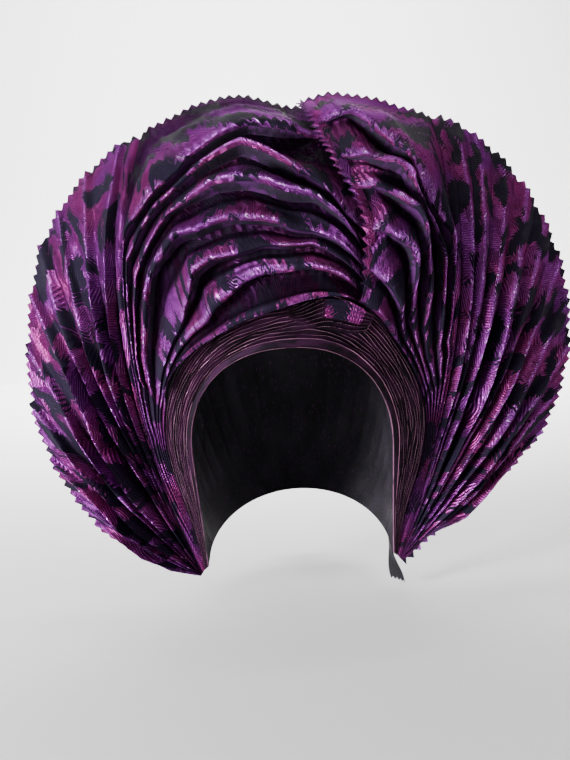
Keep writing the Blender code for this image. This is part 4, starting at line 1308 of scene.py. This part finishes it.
CAMERA_TARGET = Vector((-1.5, 0, -50)) * MM
CAMERA_DISTANCE = 676 * MM
CAMERA_ELEVATION = np.radians(8)
CAMERA_ROLL = np.radians(-4.4)
FOCAL_PIXELS = 1000
IMAGE_HEIGHT = 760
SENSOR = 36
FLOOR_HEIGHT = -0.212
WALL_PLACE = 1.4
WALL_TOP = 4
BACKDROP_SIDE = 6

pale = Paint("pale_floor")
pale.surface("Base Color", (0.92, 0.91, 0.91, 1))
pale.surface("Roughness", 0.9)


def backdrop(name, *corners):
    """One flat pale face behind or below the wrap."""
    mesh = bpy.data.meshes.new(name)
    mesh.from_pydata(corners, [], [(0, 1, 2, 3)])
    mesh.materials.append(pale.material)
    plane = bpy.data.objects.new(name, mesh)
    bpy.context.scene.collection.objects.link(plane)
    return plane


side, low, far = BACKDROP_SIDE, FLOOR_HEIGHT, WALL_PLACE
floor = backdrop("floor", (-side, -side, low), (side, -side, low), (side, side, low), (-side, side, low))
wall = backdrop("wall", (-side, far, low), (side, far, low), (side, far, WALL_TOP), (-side, far, WALL_TOP))

world = bpy.data.worlds.new("room")
world.use_nodes = True
world.node_tree.nodes["Background"].inputs["Color"].default_value = (0.80, 0.80, 0.82, 1)
world.node_tree.nodes["Background"].inputs["Strength"].default_value = 0.28
bpy.context.scene.world = world


def area_light(name, place, target, size, power, colour, spread=180):
    """Square soft light at a place, turned to a target, with its spread in degrees."""
    light = bpy.data.lights.new(name, "AREA")
    light.size, light.energy, light.color = size, power, colour
    light.spread = np.radians(spread)
    lamp = bpy.data.objects.new(name, light)
    heading = Vector(target) - Vector(place)
    lamp.matrix_world = Matrix.Translation(place) @ heading.to_track_quat("-Z", "Y").to_matrix().to_4x4()
    bpy.context.scene.collection.objects.link(lamp)


area_light("ceiling", (-0.5, -1.0, 1.15), (0, 0, -0.05), 0.5, 4.5, (1.0, 0.97, 0.95))
area_light("window", (-1.3, -0.9, 0.05), (0, 0, -0.08), 0.5, 102, (0.95, 0.96, 1.0))
area_light("fill", (1.2, -1.1, 0.4), (0, 0, -0.05), 0.7, 10, (1.0, 0.95, 0.93))
area_light("wall_light", (0, 0.7, 1.7), (0, 1.4, -0.3), 1.2, 44, (1.0, 0.99, 0.98), spread=65)

back_axis = Vector((0, -np.cos(CAMERA_ELEVATION), np.sin(CAMERA_ELEVATION)))
level_right = Vector((1, 0, 0))
level_up = back_axis.cross(level_right)
right_axis = level_right * np.cos(CAMERA_ROLL) + level_up * np.sin(CAMERA_ROLL)
up_axis = -level_right * np.sin(CAMERA_ROLL) + level_up * np.cos(CAMERA_ROLL)
camera_data = bpy.data.cameras.new("camera")
camera_data.sensor_width = SENSOR
camera_data.lens = SENSOR * FOCAL_PIXELS / IMAGE_HEIGHT
camera = bpy.data.objects.new("camera", camera_data)
turned = Matrix((right_axis, up_axis, back_axis)).transposed()
camera.matrix_world = Matrix.Translation(CAMERA_TARGET + back_axis * CAMERA_DISTANCE) @ turned.to_4x4()
bpy.context.scene.collection.objects.link(camera)
bpy.context.scene.camera = camera
